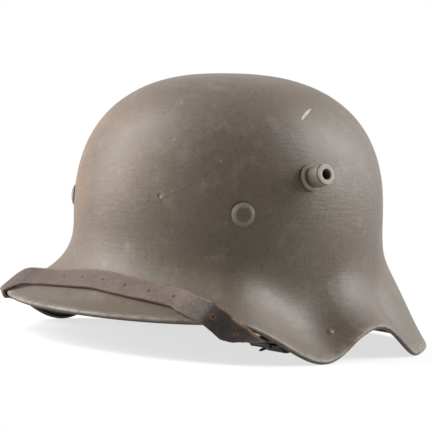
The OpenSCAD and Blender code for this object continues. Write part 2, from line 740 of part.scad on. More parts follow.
// On the right the strap folds aslant round the rolled rim and lies flat beneath it
rim_fold = rim_bead_d / 2 + seat + strap_t / 2 + 0.7;
function fold_station(turn, angle) = [
  rim_at(turn) - normal_at(turn, 2) * rim_bead_d / 2
  + (normal_at(turn, 2) * cos(angle) + rim_way(turn) * sin(angle)) * rim_fold,
  sideways(turn)
];
right_temple = concat(
  [temple_station([31, -18.2, 9.6, [-0.65, 0.5, 0.57]])],
  [temple_station([34.7, -8.6, 8.2, [-0.44, 0.7, 0.6]])],
  [for (k = [0:3]) fold_station(37.6 + 1.2 * k, 50 + 40 * k)],
  [[rim_at(45.5) + rim_frame(45.5, [-9, 0, -9.5]), [0.9, 0.42, 0.08]]],
  [[rim_at(50) + rim_frame(50, [-15, 0, -9.5]), [1, 0.12, 0]]]
);
function mirrored(p, side) = [side * p.x, p.y, p.z];
function mirrored_station(s) = [mirrored(s[0], -1), mirrored(s[1], -1)];

// Folded ends: the strap runs in, goes round a bar and lies back along itself
bar_turn = [1, 0.7, 0.4, 0.1, -0.1, -0.4, -0.7, -1];
lay = strap_t / 2 + seat / 2;
function fold(centre, back, side_way, across, bar_r) =
  let (r = bar_r + seat + strap_t / 2)
  concat(
    [
      [centre + back * fold_len + side_way * lay, across],
      [centre + back * 8.5 + side_way * lay, across],
      [centre + back * 4 + side_way * (r + lay) / 2, across]
    ],
    [for (w = bar_turn) [centre + side_way * r * sin(90 * w) - back * r * cos(90 * w), across]],
    [
      [centre + back * 4 - side_way * (r + lay) / 2, across],
      [centre + back * 8.5 - side_way * lay, across],
      [centre + back * fold_len - side_way * lay, across]
    ]
  );

// At a bale the strap comes up on the inner side and folds over the lower bar
function bale_bar(side) = bale_point(side, bale_low_z);
function bale_fold(side) =
  let (out = mirrored(outward(bale_turn), side), along = mirrored(-sideways(bale_turn), side))
  fold(bale_bar(side), [0, 0, -1], -out, along, bale_r);

// The run between a bale and the temple hangs down, turns a quarter about itself and goes forward
heel_rise = 1;
heel_back = [0, cos(heel_rise), sin(heel_rise)];
heel_up = [0, -sin(heel_rise), cos(heel_rise)];
function hang_ends(side) = [
  bale_bar(side) - [0, 0, fold_len] - mirrored(outward(bale_turn), side) * lay,
  temple_heel(side) + heel_back * fold_len + heel_up * lay
];
function hang_station(side, t) =
  let (
    ends = hang_ends(side),
    upper = ends[0] - [0, 0, 18],
    lower = ends[1] + heel_back * 24 - [side * 12, 0, 0],
    p = pow(1 - t, 3) * ends[0] + 3 * pow(1 - t, 2) * t * upper
      + 3 * (1 - t) * t * t * lower + pow(t, 3) * ends[1],
    w = min(1, max(0, t * 1.5)),
    a = 90 * w * w * (3 - 2 * w)
  )
  [p, [side * sin(a), -cos(a), 0]];
function hang_run(side) = [for (t = [0.1:0.1:0.9]) hang_station(side, t)];

// Through the buckle: over the roller, on to the prong and under the fold at the heel bar
over_roller = roller_d / 2 + seat + strap_t / 2;
heel_loop_r = wire_r + seat + strap_t / 2;
tail_out = heel_loop_r + strap_t + 2 * seat;
function buckle_station(y, z) = [temple_heel(1) + [0, y, z], [1, 0, 0]];
function roller_station(angle) =
  buckle_station(roller_y + over_roller * cos(angle), roller_z + over_roller * sin(angle));
buckle_route = concat(
  [buckle_station(roller_y - 5, roller_z + over_roller + 0.4)],
  [for (angle = [88, 60]) roller_station(angle)],
  [buckle_station(-prong_cross * cos(prong_drop), -prong_cross * sin(prong_drop))],
  [for (angle = [130, 110, 90]) buckle_station(tail_out * cos(angle), -tail_out * sin(angle))],
  [buckle_station(tail_len, -tail_out)]
);
left_route = concat(
  [for (turn = [6:6:24]) on_line(turn)],
  [for (s = left_temple) temple_station(s)],
  buckle_route
);
right_route = concat(
  [for (turn = [6:6:24]) mirrored_station(on_line(turn))],
  [for (s = right_temple) mirrored_station(s)],
  [for (y = [-16, 0]) [temple_heel(-1) + [0, y, 3.5 - y * 0.1], [-1, 0, 0]]],
  [[temple_heel(-1) + heel_back * fold_len + heel_up * lay, [-1, 0, 0]]],
  [for (t = [0.9:-0.1:0.1]) hang_station(-1, t)],
  bale_fold(-1)
);
strap_run = smooth_run(concat(
  [for (i = [len(right_route) - 1:-1:0]) right_route[i]],
  [on_line(0)],
  left_route
), 2);
short_run = smooth_run(concat(
  [for (i = [len(bale_fold(1)) - 1:-1:0]) bale_fold(1)[i]],
  hang_run(1),
  fold(temple_heel(1), heel_back, heel_up, [1, 0, 0], wire_r)
), 2);

// Places along the strap, measured from the hole the prong is in
strap_steps = [for (i = [1:len(strap_run) - 1]) norm(strap_run[i][0] - strap_run[i - 1][0])];
strap_marks = [
  for (i = 0, d = 0; i < len(strap_run); d = d + (i < len(strap_steps) ? strap_steps[i] : 0), i = i + 1) d
];
prong_mark = strap_marks[len(strap_run) - 9];
function strap_place(d) =
  let (
    i = max([for (k = [0:len(strap_steps) - 1]) if (strap_marks[k] <= d) k]),
    w = (d - strap_marks[i]) / strap_steps[i]
  )
  [
    strap_run[i][0] * (1 - w) + strap_run[i + 1][0] * w,
    unit(cross(strap_run[i + 1][0] - strap_run[i][0], strap_run[i][1]))
  ];

chinstrap_colour = [0.24, 0.19, 0.16];
prong_side = 0.4;
prong_slot = 2 * (heel_loop_r + strap_t) + 1;
strap_rivet_shank = 2.6;
strap_rivet_head = 0.8;
strap_rivet_at = fold_len - 4;
strap_rivet_out = lay + strap_t / 2 + seat + strap_rivet_head / 2;
module strap_rivet(place, way) {
  color([0.38, 0.34, 0.28]) facing(place, way) {
    cylinder(d = strap_rivet_shank, h = 2 * strap_rivet_out, center = true);
    for (s = [-1, 1]) translate([0, 0, s * strap_rivet_out])
      cylinder(d = strap_rivet_d, h = strap_rivet_head, center = true);
  }
}
module strap_rivet_hole(place, way) {
  facing(place, way) cylinder(d = strap_rivet_shank + 2 * fit, h = 3 * strap_rivet_out, center = true);
}
function bale_rivet_place(side) = bale_bar(side) - [0, 0, strap_rivet_at];
function bale_rivet_way(side) = mirrored(outward(bale_turn), side);
heel_rivet_place = temple_heel(1) + heel_back * strap_rivet_at;
module bale_rivet(side) {
  strap_rivet(bale_rivet_place(side), bale_rivet_way(side));
}

module chinstrap() {
  color(chinstrap_colour)
    difference() {
      ribbon(strap_run, strap_w, strap_t);
      prong_axis(prong_cross) cylinder(r = prong_hole_r, h = prong_hole_len, center = true);
      for (k = [0:hole_count - 1])
        let (place = strap_place(prong_mark - first_hole - k * hole_pitch))
        facing(place[0], place[1]) cylinder(d = hole_d, h = strap_t + 2, center = true);
      strap_rivet_hole(bale_rivet_place(-1), bale_rivet_way(-1));
    }
}

module short_strap() {
  color(chinstrap_colour)
    difference() {
      ribbon(short_run, strap_w, strap_t);
      buckle_place() rotate([heel_rise, 0, 0])
        translate([-prong_w / 2 - prong_side, -prong_slot / 2, -heel_loop_r - strap_t])
          cube([prong_w + 2 * prong_side, prong_slot, 2 * heel_loop_r + 2 * strap_t]);
      strap_rivet_hole(bale_rivet_place(1), bale_rivet_way(1));
      strap_rivet_hole(heel_rivet_place, heel_up);
    }
}

stand() shell();
stand() vent_lug(1);  // vent_lug_left
stand() vent_lug(-1);  // vent_lug_right
stand() lug_washers();
stand() liner_pin(pin_turn);  // liner_pin_left
stand() liner_pin(-pin_turn);  // liner_pin_right
stand() liner_pin(180);  // liner_pin_rear
stand() pin_washers();
stand() liner_band();
stand() pad(-front_pad_turn, front_pad_turn);  // pad_front
stand() pad(rear_pad_turn, rear_pad_end);  // pad_rear_left
stand() pad(-rear_pad_end, -rear_pad_turn);  // pad_rear_right
stand() pad_rivets();
stand() cushion(-front_pad_turn, front_pad_turn);  // cushion_front
stand() cushion(rear_pad_turn, rear_pad_end);  // cushion_rear_left
stand() cushion(-rear_pad_end, -rear_pad_turn);  // cushion_rear_right
stand() bale_tab(1);  // bale_tab_left
stand() bale_tab(-1);  // bale_tab_right
stand() tab_rivets();
stand() bale(1);  // bale_left
stand() bale(-1);  // bale_right
stand() chinstrap();
stand() bale_rivet(-1);  // rivet_right_bale
stand() short_strap();
stand() bale_rivet(1);  // rivet_left_bale
stand() strap_rivet(heel_rivet_place, heel_up);  // rivet_buckle
stand() buckle_frame();
stand() buckle_roller();
stand() buckle_prong();
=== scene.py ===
# Looks of the steel helmet: its painted shell, turned lugs and pins, leather liner and chinstrap.
# Pieces are drawn as worn, in millimetres, with the part's own formulas. to_scene() then sets them
# on the rim and in metres. A turn is an angle round the helmet: 0 at the brow, 90 at the left ear.
# A row runs down the shell: 0 at the crown, 1 at the band line, 2 at the rim.
import math

import bpy
import numpy as np
from mathutils import Matrix, Vector, noise


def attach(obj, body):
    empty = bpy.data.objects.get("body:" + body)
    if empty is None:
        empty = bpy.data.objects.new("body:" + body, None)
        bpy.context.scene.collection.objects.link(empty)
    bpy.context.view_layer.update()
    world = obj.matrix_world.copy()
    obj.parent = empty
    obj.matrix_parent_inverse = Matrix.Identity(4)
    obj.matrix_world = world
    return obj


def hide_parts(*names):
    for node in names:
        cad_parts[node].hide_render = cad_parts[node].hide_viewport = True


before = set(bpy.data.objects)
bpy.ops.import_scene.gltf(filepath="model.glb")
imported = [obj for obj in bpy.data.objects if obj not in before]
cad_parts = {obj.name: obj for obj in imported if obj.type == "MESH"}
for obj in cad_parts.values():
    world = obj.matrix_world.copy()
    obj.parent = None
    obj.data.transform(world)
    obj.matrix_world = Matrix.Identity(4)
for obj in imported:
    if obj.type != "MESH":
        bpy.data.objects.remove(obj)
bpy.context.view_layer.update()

# Driving sizes of the shell
FRONT_LEN, REAR_LEN, HALF_WIDTH = 101, 125, 95
BAND_LINE_Z, CROWN_Z = 89, 183
DOME_POWER = 2.45
STEEL_T = 1.2
BEAD_D = 3.2
BAND_LOW_Z, BAND_W = 88, 25
BAND_TOP_Z = BAND_LOW_Z + BAND_W
WALL_PULL, RIM_PULL = 0.42, 0.62
FLARE_LINE = [[0, 45], [45, 43], [90, 23], [135, 31], [180, 36]]
SLOPE_LINE = [[0, 6], [90, 32], [180, 79]]
RIM_LINE = [[0, 43.5], [43, 42], [76, 11.5], [98, 27], [122, 1], [180, -6]]

# The stand: the lean on the rim, in degrees, and the shift that sets it on the floor
STAND_PITCH, STAND_Y, STAND_Z = 5.45664, -5.05785, -5.61042

# Clearances
SEAT, FIT, RUNNING = 0.3, 0.1, 0.05

# The photograph's frame and the camera fitted to it
FRAME_PX = 432
CAMERA = {"azimuth": 42.31, "elevation": 6.58, "roll": 0.61, "distance": 1300, "focal_px": 1950}
TARGET = np.array([0, 0, 90.0])
TARGET_PX = (221.69, 213.43)


# Vectors and the stand

def vec(x, y, z):
    return np.stack(np.broadcast_arrays(x, y, z), -1).astype(float)


def unit(v):
    return v / np.linalg.norm(v, axis=-1, keepdims=True)


def lean(v):
    c, s = math.cos(math.radians(STAND_PITCH)), math.sin(math.radians(STAND_PITCH))
    return vec(v[..., 0], v[..., 1] * c - v[..., 2] * s, v[..., 1] * s + v[..., 2] * c)


def to_scene(points):
    return (lean(np.asarray(points, float)) + [0, STAND_Y, STAND_Z]) / 1000


# The shell's formulas

def eased(line, turn):
    turns, values = np.array(line, float).T
    a = np.abs(turn)
    k = np.clip(np.searchsorted(turns, a, side="right") - 1, 0, len(turns) - 2)
    w = (1 - np.cos(np.pi * (a - turns[k]) / (turns[k + 1] - turns[k]))) / 2
    return values[k] * (1 - w) + values[k + 1] * w


def plan_depth(turn):
    return np.where(np.cos(np.radians(turn)) > 0, FRONT_LEN, REAR_LEN)


def plan_at(turn):
    t = np.radians(turn)
    return vec(HALF_WIDTH * np.sin(t), -plan_depth(turn) * np.cos(t), 0)


def outward(turn):
    t = np.radians(turn)
    return unit(vec(np.sin(t) / HALF_WIDTH, -np.cos(t) / plan_depth(turn), 0))


def sideways(turn):
    return np.cross([0, 0, 1], outward(turn))


def dome_rise(z):
    share = (np.maximum(np.asarray(z, float) - BAND_LINE_Z, 0) / (CROWN_Z - BAND_LINE_Z)) ** (DOME_POWER / 2)
    return np.degrees(np.arccos(share))


def dome_at(turn, rise):
    r = np.radians(rise)
    drop = np.maximum(np.cos(r), 0) ** (2 / DOME_POWER)
    level = vec(0, 0, BAND_LINE_Z + (CROWN_Z - BAND_LINE_Z) * drop)
    return plan_at(turn) * (np.sin(r) ** (2 / DOME_POWER))[..., None] + level


def flare_at(turn, v):
    out, rim_z, slope = eased(FLARE_LINE, turn), eased(RIM_LINE, turn), np.radians(eased(SLOPE_LINE, turn))
    top = plan_at(turn) + [0, 0, BAND_LINE_Z]
    drop = BAND_LINE_Z - rim_z
    rim = plan_at(turn) + outward(turn) * out[..., None] + vec(0, 0, rim_z)
    way = outward(turn) * np.cos(slope)[..., None] - vec(0, 0, np.sin(slope))
    upper = top - vec(0, 0, WALL_PULL * drop)
    lower = rim - way * (RIM_PULL * np.hypot(out, drop))[..., None]
    v = v[..., None]
    return (1 - v) ** 3 * top + 3 * (1 - v) ** 2 * v * upper + 3 * (1 - v) * v * v * lower + v ** 3 * rim


def skin_at(turn, row):
    turn, row = np.broadcast_arrays(np.asarray(turn, float), np.asarray(row, float))
    dome = dome_at(turn, 90 * np.clip(row, 0, 1))
    return np.where((row <= 1)[..., None], dome, flare_at(turn, np.maximum(row - 1, 0)))


def normal_at(turn, row, step=0.01):
    down = skin_at(turn, np.add(row, step)) - skin_at(turn, np.subtract(row, step))
    round_ = skin_at(np.add(turn, 1), row) - skin_at(np.subtract(turn, 1), row)
    return unit(np.cross(down, round_))


def inner_at(turn, row):
    return skin_at(turn, row) - normal_at(turn, row) * STEEL_T


def rim_at(turn):
    return skin_at(turn, 2.0)


def rim_way(turn):
    return unit(skin_at(turn, 2.01) - skin_at(turn, 1.99))


def bead_at(turn, angle):
    a = math.radians(angle)
    swing = normal_at(turn, 2.0) * (math.cos(a) - 1) + rim_way(turn) * math.sin(a)
    return rim_at(turn) + swing * BEAD_D / 2


def inside_at(turn, z, gap):
    """A point beside the inner wall, gap in from it, and plumb below the top of the liner band."""
    level = (np.sin(np.radians(dome_rise(np.maximum(z, BAND_TOP_Z)))) ** (2 / DOME_POWER))[..., None]
    inward = outward(turn) * (STEEL_T + np.asarray(gap, float))[..., None]
    return plan_at(turn) * level - inward + vec(0, 0, z)


# The camera's own directions, as worn

def camera_axes():
    a, e, r = (math.radians(CAMERA[k]) for k in ("azimuth", "elevation", "roll"))
    back = np.array([math.sin(a) * math.cos(e), -math.cos(a) * math.cos(e), math.sin(e)])
    right = np.array([math.cos(a), math.sin(a), 0])
    up = np.cross(back, right)
    return back, right * math.cos(r) + up * math.sin(r), up * math.cos(r) - right * math.sin(r)


def to_pixels(points):
    back, right, up = camera_axes()
    q = points - TARGET
    scale = CAMERA["focal_px"] / (CAMERA["distance"] - q @ back)
    return np.stack([TARGET_PX[0] + scale * (q @ right), TARGET_PX[1] - scale * (q @ up)], -1)


def spot(u, v):
    """The place on the outer skin that the photograph shows at a pixel."""
    turn, row = np.meshgrid(np.arange(-60, 120, 0.5), np.arange(0.1, 1.99, 0.01))
    points = skin_at(turn, row)
    seen = normal_at(turn, row) @ camera_axes()[0] > 0.05
    miss = np.linalg.norm(to_pixels(points) - [u, v], axis=-1) + np.where(seen, 0, 1e6)
    return points[np.unravel_index(np.argmin(miss), miss.shape)]


# Mesh helpers

def linked(name, data):
    """An object with this data, in the scene."""
    obj = bpy.data.objects.new(name, data)
    bpy.context.scene.collection.objects.link(obj)
    return obj


def piece(name, points, faces, material, body="helmet", stands_for=(), sharp=40):
    """A mesh object from points as worn, in millimetres, which rides on a body."""
    mesh = bpy.data.meshes.new(name)
    mesh.from_pydata(to_scene(points).tolist(), [], [list(map(int, f)) for f in faces])
    mesh.validate()
    mesh.shade_smooth()
    mesh.set_sharp_from_angle(angle=math.radians(sharp))
    obj = linked(name, mesh)
    mesh.materials.append(material)
    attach(obj, body)
    if stands_for:
        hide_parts(*stands_for)
    return obj


def add_attribute(obj, name, values):
    layer = obj.data.attributes.new(name, "FLOAT", "POINT")
    layer.data.foreach_set("value", np.asarray(values, dtype=np.float32))


def grid_faces(rows, cols, closed=True, first=0):
    """Quads between rows of points, which close round on themselves or not."""
    span = cols if closed else cols - 1
    return [
        (first + cols * i + j, first + cols * i + (j + 1) % cols,
         first + cols * (i + 1) + (j + 1) % cols, first + cols * (i + 1) + j)
        for i in range(rows - 1) for j in range(span)
    ]


def joined(parts):
    """One list of points and one of faces from several pairs of them."""
    points, faces, start = [], [], 0
    for p, f in parts:
        points.append(np.asarray(p, float))
        faces += [tuple(start + k for k in face) for face in f]
        start += len(p)
    return np.concatenate(points), faces


def facing(place, way):
    """Axes at a place: z along the way, y level and x down the slope."""
    way = unit(np.asarray(way, float))
    turn = math.atan2(way[1], way[0])
    level = np.array([-math.sin(turn), math.cos(turn), 0])
    return np.asarray(place, float), np.stack([np.cross(level, way), level, way])


def placed(points, axes):
    place, basis = axes
    return place + np.asarray(points, float) @ basis


def rounded(profile, radius, steps=5):
    """The profile with each inner corner turned into an arc of about that radius."""
    out = [profile[0]]
    for before, corner, after in zip(profile, profile[1:], profile[2:]):
        a, b = np.subtract(before, corner), np.subtract(after, corner)
        reach = min(radius, 0.45 * np.linalg.norm(a), 0.45 * np.linalg.norm(b))
        start, end = corner + unit(a) * reach, corner + unit(b) * reach
        for k in range(steps + 1):
            t = k / steps
            out.append((1 - t) ** 2 * start + 2 * t * (1 - t) * np.array(corner) + t * t * end)
    out.append(profile[-1])
    return np.array(out, float)


def corner_wear(profile, corners, reach=0.7):
    """For each point of a profile, 1 at the named corners and 0 a little way off."""
    gap = np.linalg.norm(np.asarray(profile)[:, None] - np.asarray(corners, float)[None], axis=-1).min(1)
    return np.clip(1 - gap / reach, 0, 1)


def revolved(profile, axes, segments):
    """A turned piece: profile points are radius and height. An end on the axis is closed by a fan."""
    profile = np.asarray(profile, float)
    angles = np.arange(segments) * 2 * np.pi / segments
    rings = [vec(r * np.cos(angles), r * np.sin(angles), z) for r, z in profile]
    faces = grid_faces(len(profile), segments)
    points = placed(np.concatenate(rings), axes)
    return points, [face[::-1] for face in faces]


def sweep(path, sections, closed=False):
    """A tube: sections[i] are the points of the section at path[i], already in place."""
    count, sides = len(path), len(sections[0])
    faces = grid_faces(count, sides)
    if closed:
        last = sides * (count - 1)
        faces += [(last + j, last + (j + 1) % sides, (j + 1) % sides, j) for j in range(sides)]
    else:
        faces += [tuple(range(sides))[::-1], tuple(sides * (count - 1) + k for k in range(sides))]
    return np.concatenate(sections), faces


def wire(path, radius, closed=False, sides=16):
    """A round wire along a path. radius is one number or one for each point."""
    path = np.asarray(path, float)
    radii = np.broadcast_to(np.asarray(radius, float), len(path))
    if closed:
        ways = unit(np.roll(path, -1, 0) - np.roll(path, 1, 0))
    else:
        ways = unit(np.gradient(path, axis=0))
    side = unit(np.cross(ways[0], [0.31, 0.52, 0.79]))
    angles = np.arange(sides) * 2 * np.pi / sides
    sections = []
    for p, way, r in zip(path, ways, radii):
        side = unit(side - way * (side @ way))
        other = np.cross(way, side)
        sections.append(p + r * (np.cos(angles)[:, None] * side + np.sin(angles)[:, None] * other))
    return sweep(path, sections, closed)


def drill(obj, cylinders, sides=24):
    """Cuts round holes, each axes at its middle, a radius and a length, as worn."""
    parts = []
    for axes, radius, length in cylinders:
        points, faces = revolved([[radius, -length / 2], [radius, length / 2]], axes, sides)
        faces = faces + [tuple(range(sides)), tuple(range(sides, 2 * sides))[::-1]]
        parts.append((points, faces))
    points, faces = joined(parts)
    mesh = bpy.data.meshes.new("cutter")
    mesh.from_pydata(to_scene(points).tolist(), [], faces)
    cutter = linked("cutter", mesh)
    cut = obj.modifiers.new("holes", "BOOLEAN")
    cut.operation, cut.object, cut.solver = "DIFFERENCE", cutter, "EXACT"
    apply_modifiers(obj)
    bpy.data.objects.remove(cutter)
    bpy.data.meshes.remove(mesh)


def apply_modifiers(obj):
    shown = obj.evaluated_get(bpy.context.evaluated_depsgraph_get())
    mesh = bpy.data.meshes.new_from_object(shown)
    obj.modifiers.clear()
    old, obj.data = obj.data, mesh
    bpy.data.meshes.remove(old)


# Materials

class Finish:
    """The nodes of a material or the world. An input given as a socket is linked, any other is set."""

    def __init__(self, name, owner=None):
        self.material = owner or bpy.data.materials.new(name)
        self.material.use_nodes = True
        self.tree = self.material.node_tree
        self.tree.nodes.clear()
        self.place = self.add("ShaderNodeTexCoord").outputs["Object"]

    def add(self, kind, inputs=None, **settings):
        node = self.tree.nodes.new(kind)
        for name, value in settings.items():
            setattr(node, name, value)
        for name, value in (inputs or {}).items():
            if isinstance(value, bpy.types.NodeSocket):
                self.tree.links.new(value, node.inputs[name])
            else:
                node.inputs[name].default_value = value
        return node

    def stretched(self, scale, turn=(0, 0, 0)):
        mapping = self.add("ShaderNodeMapping", {"Vector": self.place, "Scale": scale, "Rotation": turn})
        return mapping.outputs["Vector"]

    def noise(self, scale, detail=4, rough=0.55, vector=None, distortion=0.0):
        inputs = {"Vector": vector or self.place, "Scale": scale, "Detail": detail,
                  "Roughness": rough, "Distortion": distortion}
        return self.add("ShaderNodeTexNoise", inputs).outputs["Fac"]

    def cells(self, scale, feature="F1", vector=None):
        inputs = {"Vector": vector or self.place, "Scale": scale}
        return self.add("ShaderNodeTexVoronoi", inputs, feature=feature).outputs["Distance"]

    def ramp(self, value, low, high):
        """0 below low, 1 above high, or the other way round."""
        inputs = {"Value": value, "From Min": low, "From Max": high, "To Min": 0.0, "To Max": 1.0}
        return self.add("ShaderNodeMapRange", inputs, interpolation_type="SMOOTHSTEP").outputs["Result"]

    def span(self, value, low, high):
        """A value between 0 and 1 spread from low to high."""
        inputs = {"Value": value, "From Min": 0.0, "From Max": 1.0, "To Min": low, "To Max": high}
        return self.add("ShaderNodeMapRange", inputs).outputs["Result"]

    def math(self, operation, a, b):
        return self.add("ShaderNodeMath", {0: a, 1: b}, operation=operation).outputs[0]

    def times(self, a, b):
        return self.math("MULTIPLY", a, b)

    def plus(self, a, b):
        return self.math("ADD", a, b)

    def minus(self, a, b):
        return self.math("SUBTRACT", a, b)

    def most(self, a, b):
        return self.math("MAXIMUM", a, b)

    def mix(self, factor, a, b, blend="MIX"):
        node = self.add("ShaderNodeMix", {0: factor}, data_type="RGBA", blend_type=blend)
        for index, value in ((6, a), (7, b)):
            if isinstance(value, bpy.types.NodeSocket):
                self.tree.links.new(value, node.inputs[index])
            else:
                node.inputs[index].default_value = (*value, 1)
        return node.outputs[2]

    def tint(self, colour, mask, share, other):
        """The colour with a share of another one where the mask is 1."""
        return self.mix(self.times(mask, share), colour, other)

    def any_of(self, masks):
        """The highest of several masks at each point."""
        total, *others = masks
        for mask in others:
            total = self.most(total, mask)
        return total

    def patches(self, scale, detail, rough, low, high, **more):
        """Soft-edged patches of 1 on 0."""
        return self.ramp(self.noise(scale, detail, rough, **more), low, high)

    def seen_directly(self):
        """1 for camera, glossy and transmission rays, 0 for the rays that light the object."""
        rays = self.add("ShaderNodeLightPath").outputs
        seen = self.most(rays["Is Camera Ray"], rays["Is Glossy Ray"])
        return self.most(seen, rays["Is Transmission Ray"])

    def attribute(self, name):
        return self.add("ShaderNodeAttribute", attribute_name=name).outputs["Fac"]

    def near(self, place, radius, soft=0.5):
        """1 within radius of a place as worn, in millimetres, and 0 outside."""
        gap = self.add("ShaderNodeVectorMath", {0: self.place, 1: to_scene(place)}, operation="DISTANCE")
        return self.ramp(gap.outputs["Value"], radius / 1000, radius * (1 - soft) / 1000)

    def bump(self, height, distance_mm, strength=1.0, under=None):
        inputs = {"Height": height, "Distance": distance_mm / 1000, "Strength": strength}
        if under:
            inputs["Normal"] = under
        return self.add("ShaderNodeBump", inputs).outputs["Normal"]

    def done(self, colour, roughness, normal, **fixed):
        inputs = {"Base Color": colour, "Roughness": roughness, "Normal": normal}
        inputs.update({name.replace("_", " "): value for name, value in fixed.items()})
        shader = self.add("ShaderNodeBsdfPrincipled", inputs)
        self.add("ShaderNodeOutputMaterial", {"Surface": shader.outputs["BSDF"]})
        return self.material


# Marks in the paint, by the pixel of the photograph that shows them
SCRATCH_PX = [(302.5, 119), (306, 114.5), (310.5, 110)]
DING_PX = (159, 195)
CHIP_PX = (330.5, 332)
# Where a painted warm reflection lies along the left outline; it is no mark in the paint
WARM_REFLECTION_PX = (84, 170)
SPECKS_PX = [(182, 101), (174, 139), (140, 157), (172, 190), (221, 160), (183, 186), (252, 92), (346, 132)]

# Specular level of the paint
PAINT_SHINE = 0.28


def scratch_lines(f):
    """Fine hair scratches that run several ways, 1 on a line."""
    runs = []
    for turn, scale in (((0, 0.5, 0.3), 46), ((0.4, 1.2, 0.8), 52),
                        ((0.9, 2.1, 0.2), 40), ((0.2, 0.1, 1.5), 60)):
        lines = f.patches(scale * 9, 2, 0.5, 0.70, 0.78, vector=f.stretched((1, 1, 0.06), turn))
        runs.append(f.times(lines, f.patches(scale * 0.45, 2, 0.5, 0.50, 0.62)))
    return f.any_of(runs)


def aged_paint(f, tone=1.0):
    """Colour, roughness and height of the old field-grey paint."""
    base, olive, brown, pale, dark = (tuple(tone * c for c in shade) for shade in (
        (0.086, 0.066, 0.050), (0.081, 0.065, 0.044), (0.096, 0.067, 0.050),
        (0.155, 0.129, 0.108), (0.040, 0.031, 0.025)))
    colour = f.mix(f.patches(9, 3, 0.5, 0.45, 0.65), base, olive)
    for patch, share, other in (
        ((14, 5, 0.6, 0.52, 0.72), 0.7, brown), ((70, 6, 0.65, 0.50, 0.75), 0.55, pale),
        ((210, 4, 0.6, 0.54, 0.74), 0.5, dark), ((640, 3, 0.6, 0.50, 0.72), 0.3, pale),
        ((900, 3, 0.6, 0.54, 0.74), 0.5, dark),
    ):
        colour = f.tint(colour, f.patches(*patch), share, other)
    lines = scratch_lines(f)
    colour = f.tint(colour, lines, 0.35, pale)
    rough = f.span(f.noise(48, 4, 0.6), 0.42, 0.60)
    rough = f.plus(rough, f.times(lines, 0.1))
    strokes = f.noise(560, 4, 0.6, f.stretched((0.14, 0.14, 1)))
    height = f.plus(f.times(f.noise(330, 3, 0.55), 0.4), f.times(strokes, 0.8))
    height = f.plus(height, f.times(f.noise(1300, 2, 0.5), 0.25))
    height = f.minus(height, f.times(lines, 0.25))
    return colour, rough, height


def shell_paint():
    f = Finish("shell_paint")
    colour, rough, height = aged_paint(f)
    ends = [spot(*p) for p in SCRATCH_PX]
    dots, count = [], 25
    for k in range(count):
        t = 2 * k / (count - 1)
        low = min(int(t), 1)
        place = ends[low] * (1 - (t - low)) + ends[low + 1] * (t - low)
        dots.append(f.near(place, 0.6 + 0.75 * math.sin(math.pi * (k + 1) / (count + 1)), 0.5))
    scratch = f.times(f.any_of(dots), f.span(f.patches(500, 3, 0.6, 0.36, 0.56), 0.45, 1))
    drip = f.near(spot(*CHIP_PX), 2.6, 0.9)
    specks = f.any_of(f.near(spot(*p), 1.0 + 0.5 * math.sin(k * 2.1), 0.9) for k, p in enumerate(SPECKS_PX))
    specks = f.times(specks, f.patches(800, 2, 0.6, 0.36, 0.56))
    ding = f.near(spot(*DING_PX), 2.0, 0.8)
    # A painted warm reflection along the left outline, in patches
    warm_reflection = f.times(f.near(spot(*WARM_REFLECTION_PX), 75, 0.95), f.patches(26, 4, 0.6, 0.30, 0.66))
    # The worn rim: partly wear, partly a painted highlight along the top of the rolled bead
    worn_and_sheen = f.times(f.attribute("rim"), f.patches(120, 5, 0.7, 0.36, 0.60))
    for mask, share, other in (
        (warm_reflection, 0.55, (0.155, 0.094, 0.060)), (worn_and_sheen, 0.5, (0.23, 0.20, 0.17)),
        # painted shade: dark beneath the rolled bead and over the inside of the shell
        (f.attribute("under"), 0.85, (0.026, 0.020, 0.016)), (specks, 0.45, (0.36, 0.31, 0.26)),
        (scratch, 0.85, (0.56, 0.41, 0.30)), (drip, 0.4, (0.22, 0.185, 0.155)),
        (ding, 0.5, (0.07, 0.055, 0.042)),
    ):
        colour = f.tint(colour, mask, share, other)
    normal = f.bump(height, 0.27)
    marks = f.minus(f.times(drip, 1.2), f.plus(ding, f.times(scratch, 0.3)))
    normal = f.bump(marks, 0.5, under=normal)
    return f.done(colour, rough, normal, Specular_IOR_Level=PAINT_SHINE)


def fitting_paint(name, tone):
    """The shell's paint on a small turned piece, worn to steel where its edge attribute is 1, which on the
    pins' bevels stands for a painted highlight, and darkened as painted shade, with some grime, in grooves,
    down bores and round the foot of a head.
    """
    f = Finish(name)
    colour, rough, height = aged_paint(f, tone)
    # Lighter edges: worn paint on the lugs, a painted highlight on the bevel of the pins' heads
    worn_and_sheen = f.times(f.attribute("edge"), f.patches(330, 4, 0.7, 0.24, 0.44))
    colour = f.mix(worn_and_sheen, colour, (0.36, 0.33, 0.29))
    # Painted shade, with some grime, in grooves, down bores and round the foot of a head
    colour = f.tint(colour, f.attribute("grime_and_shade"), 0.85, (0.030, 0.026, 0.021))
    rough = f.minus(rough, f.times(worn_and_sheen, 0.12))
    return f.done(colour, rough, f.bump(height, 0.12), Specular_IOR_Level=PAINT_SHINE)


def steel_finish(name, base, rust, roughness):
    """Dull bare or blackened steel with rust in patches and fine wear."""
    f = Finish(name)
    colour = f.mix(f.patches(90, 5, 0.65, 0.46, 0.70), base, rust)
    bright = tuple(min(1, 1.9 * c) for c in base)
    colour = f.tint(colour, f.patches(900, 3, 0.6, 0.5, 0.75), 0.4, bright)
    rough = f.span(f.noise(150, 4, 0.6), roughness - 0.1, roughness + 0.14)
    height = f.plus(f.noise(500, 4, 0.6), f.times(f.noise(2500, 2, 0.5), 0.4))
    return f.done(colour, rough, f.bump(height, 0.07), Metallic=0.85)


